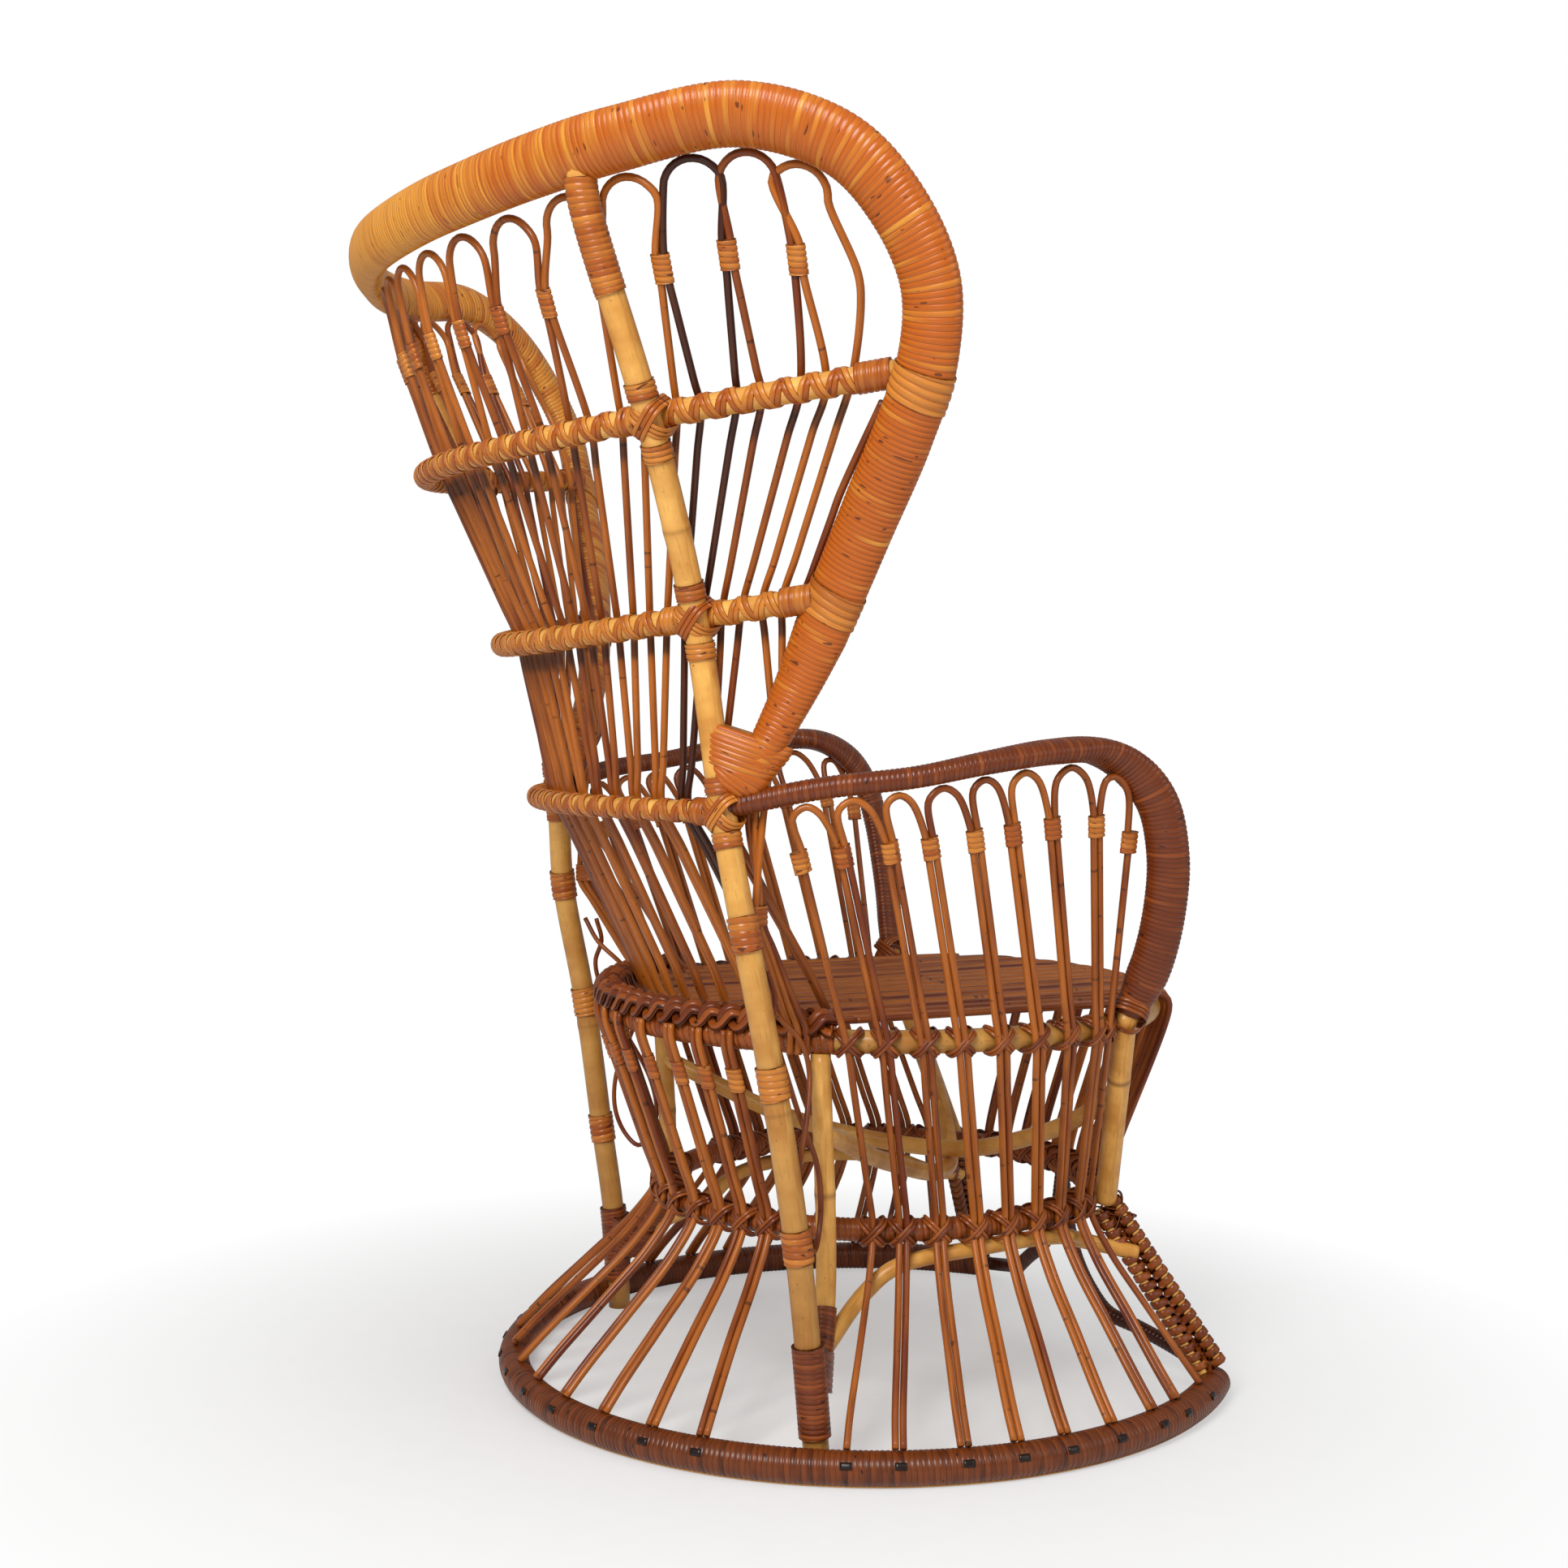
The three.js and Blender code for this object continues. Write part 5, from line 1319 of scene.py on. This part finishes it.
def seat_pair(k):
    """One pair from the back to the front, and down for the middle ones."""
    x = deck_x(k)
    points = [[x, landing_y(x), DECK_LEVEL], [x, mix(landing_y(x), front_of(x, 5), 0.5), DECK_LEVEL + 0.6],
              [x, front_of(x, 3), DECK_LEVEL]]
    if k < APRON_REEDS:
        points += [[x, front_of(x, 10.5), SEAT_HEIGHT + 9], [x, front_of(x, DECK_REACH), SEAT_HEIGHT]]
        points += [polar(waist_contact, APRON_ANGLES[k], WAIST_HEIGHT + rise)
                   for rise in (WAIST_POLE, -WAIST_POLE)]
    path = smooth(points, 5.0)
    return [tube(path + (offset, 0, 0), REED, (1, 0, 0)) for offset in (-PAIR_HALF, PAIR_HALF)]


deck = [strand for k in range(HAIRPINS - 1) for strand in seat_pair(k)]
make_piece("seat_reeds_strands", deck + mirrored(deck), reed_finish, "reed", "seat_reeds")

# %% [markdown]
# ## Plaited border
# A thick plait of cane hides the ends of the reeds on the rear of the seat ring. It is a plait of
# three, each strand a doubled flat strip. The strand swings from side to side once while it goes up
# and down twice, which is the simplest formula of a plait, and three of them a third apart weave
# over and under each other by themselves.

# %% Plaited border
BORDER_ARC = (-57.0, 57.0)
BORDER_SWING, BORDER_LIFT, PLAIT_MM = 9.5, 6.0, 60.0
PLAIT_APART, PLAIT_STRIP = 3.6, 7.6
border_line = circle(SEAT_RADIUS + 3, SEAT_HEIGHT + SEAT_POLE + 6.5, *BORDER_ARC, 1.5)
border_out = unit(border_line * (1, 1, 0) - (0, SEAT_Y, 0))
plait = []
for third in range(3):
    phase = 2 * np.pi * (lengths(border_line) / PLAIT_MM + third / 3)[:, None]
    line = border_line + border_out * BORDER_SWING * np.sin(phase) + UP * BORDER_LIFT * np.sin(2 * phase)
    facing = border_out * np.sin(phase) + UP * 0.8
    sideways = unit(np.cross(unit(np.gradient(line, axis=0)), facing))
    for doubled in (-PLAIT_APART, PLAIT_APART):
        plait.append(strip(line + sideways * doubled, facing, PLAIT_STRIP, 2.8))
        plait.append(strip(line + sideways * doubled - facing * 0.4, -facing, PLAIT_STRIP, 2.2))
make_piece("seat_border_plait", plait, arm_cane, "cane_binding", "seat_border")
under_wrap = winding(circle(SEAT_RADIUS, SEAT_HEIGHT, *BORDER_ARC), SEAT_POLE + 1.4, 7.0, groove=1.5)
make_piece("seat_border_wrap", under_wrap, arm_cane, "cane_binding", "seat_border")

# %% [markdown]
# ## Front struts, bindings and foot wraps
# Each front strut is a band of two thin poles with cane woven over and under them in figures of
# eight. The rear legs carry three bindings each, five turns of broad cane, and a long wrap at the foot
# that takes in the inner leg.

# %% Front struts
STRUT_SIDE = np.array([0.4, -0.9, 0.0])
STRUT_POLE, STRUT_APART = 4.2, 9.2
EIGHT_PITCH, EIGHT_WIDE, EIGHT_HIGH, EIGHT_STRIP = 9.0, 14.2, 5.2, 7.0
strut_line = even(np.vstack([strut_top, strut_foot]), 2.0)
strut_u, _ = frames(strut_line, STRUT_SIDE)
strut_poles = [pole(strut_line + strut_u * off, STRUT_POLE, STRUT_SIDE, 60, sides=12)
               for off in (-STRUT_APART, STRUT_APART)]
make_pair("front_strut_poles", strut_poles, pole_finish, "cane_binding", "front_strut")
eight_turns = lengths(strut_line)[-1] / EIGHT_PITCH
phase = np.linspace(0, 2 * np.pi * eight_turns, int(eight_turns * 26))
place, eight_u, eight_w = on_path(strut_line, phase / (2 * np.pi) * EIGHT_PITCH, STRUT_SIDE)
swing, rise = np.sin(phase)[:, None], np.sin(2 * phase)[:, None]
eight = place + eight_u * EIGHT_WIDE * swing + eight_w * EIGHT_HIGH * rise
weave = [strip(eight, eight_u * swing + eight_w * 1.3 * np.sign(rise), EIGHT_STRIP, 1.2)]
weave += crossed(strut_line[4], strut_line[4] - strut_line[0], strut_u[4], 19, 9, STRUT_SIDE)
make_pair("front_strut_weave", weave, strut_cane, "cane_binding", "front_strut")

# %% Leg bindings
BINDING_PITCH, BINDING_HALF = 5.4, 13.5
BINDING_HEIGHTS = {"upper": 436.0, "middle": 317.0, "lower": 186.0}
for name, height in BINDING_HEIGHTS.items():
    bound = between_heights(post_path, height - BINDING_HALF, height + BINDING_HALF, 12)
    binding = winding(bound, POST_RADIUS + 1.9, BINDING_PITCH, (1, 0, 0), 24, groove=1.3)
    make_pair(f"leg_binding_{name}_cane", binding, lashing_cane, "cane_binding", f"leg_binding_{name}")

# %% Foot wraps
WRAP_HEIGHTS, FORK_HEIGHTS, INNER_HEIGHTS = (30, 104), (62, 92), (84, 118)
foot_wrap = winding(between_heights(post_path, *WRAP_HEIGHTS, 24), POST_RADIUS + 2.7, 4.2, (1, 0, 0), 24)
fork_leg, fork_inner = (between_heights(path, *FORK_HEIGHTS, 12) for path in (post_path, inner_path))
fork_half = np.linalg.norm(fork_leg - fork_inner, axis=1) / 2 + INNER_RADIUS + 3.2


def fork_size(share):
    """Wide enough to take in the leg and the inner leg."""
    return even_steps(share, fork_half), np.full_like(share, POST_RADIUS + 3.0)


foot_wrap += winding(mix(fork_leg, fork_inner, 0.5), fork_size, 4.4, fork_leg - fork_inner, 28)
inner_bound = between_heights(inner_path, *INNER_HEIGHTS, 12)
foot_wrap += winding(inner_bound, INNER_RADIUS + 1.6, 4.2, (1, 0, 0), 20)
make_pair("foot_wrap_cane", foot_wrap, arm_cane, "cane_binding", "foot_wrap")

# %% [markdown]
# ## Scroll reeds
# Between the rear leg and the inner leg a thin reed makes one long figure of eight, bent round and
# nailed where it touches. It is drawn through the same turns as in the frame.

# %% Scroll reeds
SCROLL = 2.3
SCROLL_TURNS = [
    (402, 0.04, 0), (380, 0.5, 1), (360, 0.86, 0), (342, 0.94, 0), (318, 0.84, 0), (283, 0.5, -1),
    (240, 0.1, 0), (206, 0, 0), (182, 0.18, 0), (171, 0.5, 0), (182, 0.82, 0), (206, 1, 0), (240, 0.9, 0),
    (283, 0.5, 1), (318, 0.1, 0), (342, 0, 0), (360, 0.1, 0), (380, 0.5, -1), (402, 0.96, 0),
]
SCROLL_OFF = SCROLL * math.sqrt(2) + SNUG
FAN_HEIGHT = 350.0
wing_first = np.array(hairpin(HAIRPINS - 1))[:3]
wing_last = np.array(end_points)[-3:]


def scroll_point(height, across, side):
    """One turn of the scroll between the leg and the inner leg, or the wing reeds above it."""
    inner = height < inner_top[2]
    line = inner_path if inner else (wing_first if height > FAN_HEIGHT else wing_last)
    leg, body = at_height(post_path, height), at_height(line, height)
    way = unit((body - leg) * (1, 1, 0))
    start = leg + way * (BINDING_REACH + SCROLL_OFF)
    end = body - way * ((INNER_RADIUS if inner else REED_CORNER) + 0.2 + SCROLL_OFF)
    return mix(start, end, across) + np.cross(way, UP) * side * SCROLL_OFF


scroll_path = smooth([scroll_point(*turn) for turn in SCROLL_TURNS], 4.0)
scroll_side = np.stack([scroll_path[:, 1], -scroll_path[:, 0], np.zeros(len(scroll_path))], axis=1)
scroll = tube(scroll_path, SCROLL, scroll_side, 10, 0.8)
make_pair("scroll_reed_strand", [scroll], reed_finish, "reed", "scroll_reed")

# %% [markdown]
# ## The studio
# The chair stands on a plain pale floor in soft light from everywhere, with one large soft lamp above
# and to the left of the camera and a weaker one on the other side. The ground far from the chair fades
# to plain white, so no horizon shows.

# %% Floor
FLOOR_HALF = 14.0
FADE = {"From Min": 0.25, "From Max": 0.8, "To Min": 0.3, "To Max": 1.0}
FLOOR_DARK, FLOOR_PALE = "#f2f2f1", "#f8f8f7"
WHITE = (1, 1, 1, 1)
floor_mesh = bpy.data.meshes.new("floor")
corners = [(x * FLOOR_HALF, y * FLOOR_HALF, 0) for x, y in ((-1, -1), (1, -1), (1, 1), (-1, 1))]
floor_mesh.from_pydata(corners, [], [(0, 1, 2, 3)])
floor = place_object("floor", floor_mesh)
floor_finish, tree = new_material("pale_painted_floor")
tree.nodes.remove(tree.nodes["Principled BSDF"])
grain = add(tree, "ShaderNodeTexNoise", {"Scale": 900.0, "Detail": 2.0}, "Fac")
paint = laid_over(tree, linear(FLOOR_DARK), linear(FLOOR_PALE), grain, 0.0, 1.0)
matt = add(tree, "ShaderNodeBsdfDiffuse", {"Color": paint})
white = add(tree, "ShaderNodeEmission", {"Color": WHITE, "Strength": 1.0})
far = add(tree, "ShaderNodeVectorMath", {0: add(tree, "ShaderNodeTexCoord", output="Object")}, "Value",
          operation="LENGTH")
seen = add(tree, "ShaderNodeLightPath", output="Is Camera Ray")
fade = add(tree, "ShaderNodeMapRange", {"Value": far, **FADE})
fade = add(tree, "ShaderNodeMath", {0: fade, 1: seen}, operation="MULTIPLY")
ground = add(tree, "ShaderNodeMixShader", {0: fade, 1: matt, 2: white})
tree.links.new(ground, tree.nodes["Material Output"].inputs["Surface"])
floor_mesh.materials.append(floor_finish)
print("made", floor_finish.name)

# %% Light
SKY_STRENGTH = 0.32
LAMP_AIM = (0, 0, 0.75)
world = bpy.data.worlds.new("studio")
world.use_nodes = True
bpy.context.scene.world = world
sky = world.node_tree
seen = add(sky, "ShaderNodeLightPath", output="Is Camera Ray")
strength = add(sky, "ShaderNodeMapRange", {"Value": seen, "To Min": SKY_STRENGTH, "To Max": 1.0})
sky.nodes["Background"].inputs["Color"].default_value = WHITE
sky.links.new(strength, sky.nodes["Background"].inputs["Strength"])


def soft_lamp(name, place, size, power):
    """A large square lamp that looks at the chair."""
    data = bpy.data.lights.new(name, "AREA")
    data.size = size
    data.energy = power
    lamp = place_object(name, data)
    lamp.location = place
    aim = np.subtract(LAMP_AIM, place)
    lamp.rotation_euler = (math.atan2(math.hypot(aim[0], aim[1]), -aim[2]), 0, math.atan2(-aim[0], aim[1]))
    print(name, "at", place, "with", power, "W")


soft_lamp("key_lamp", (-1.7, 1.5, 2.1), 1.2, 60)
soft_lamp("fill_lamp", (-2.2, -1.6, 1.6), 1.6, 12)
bpy.context.scene.view_settings.view_transform = "Standard"
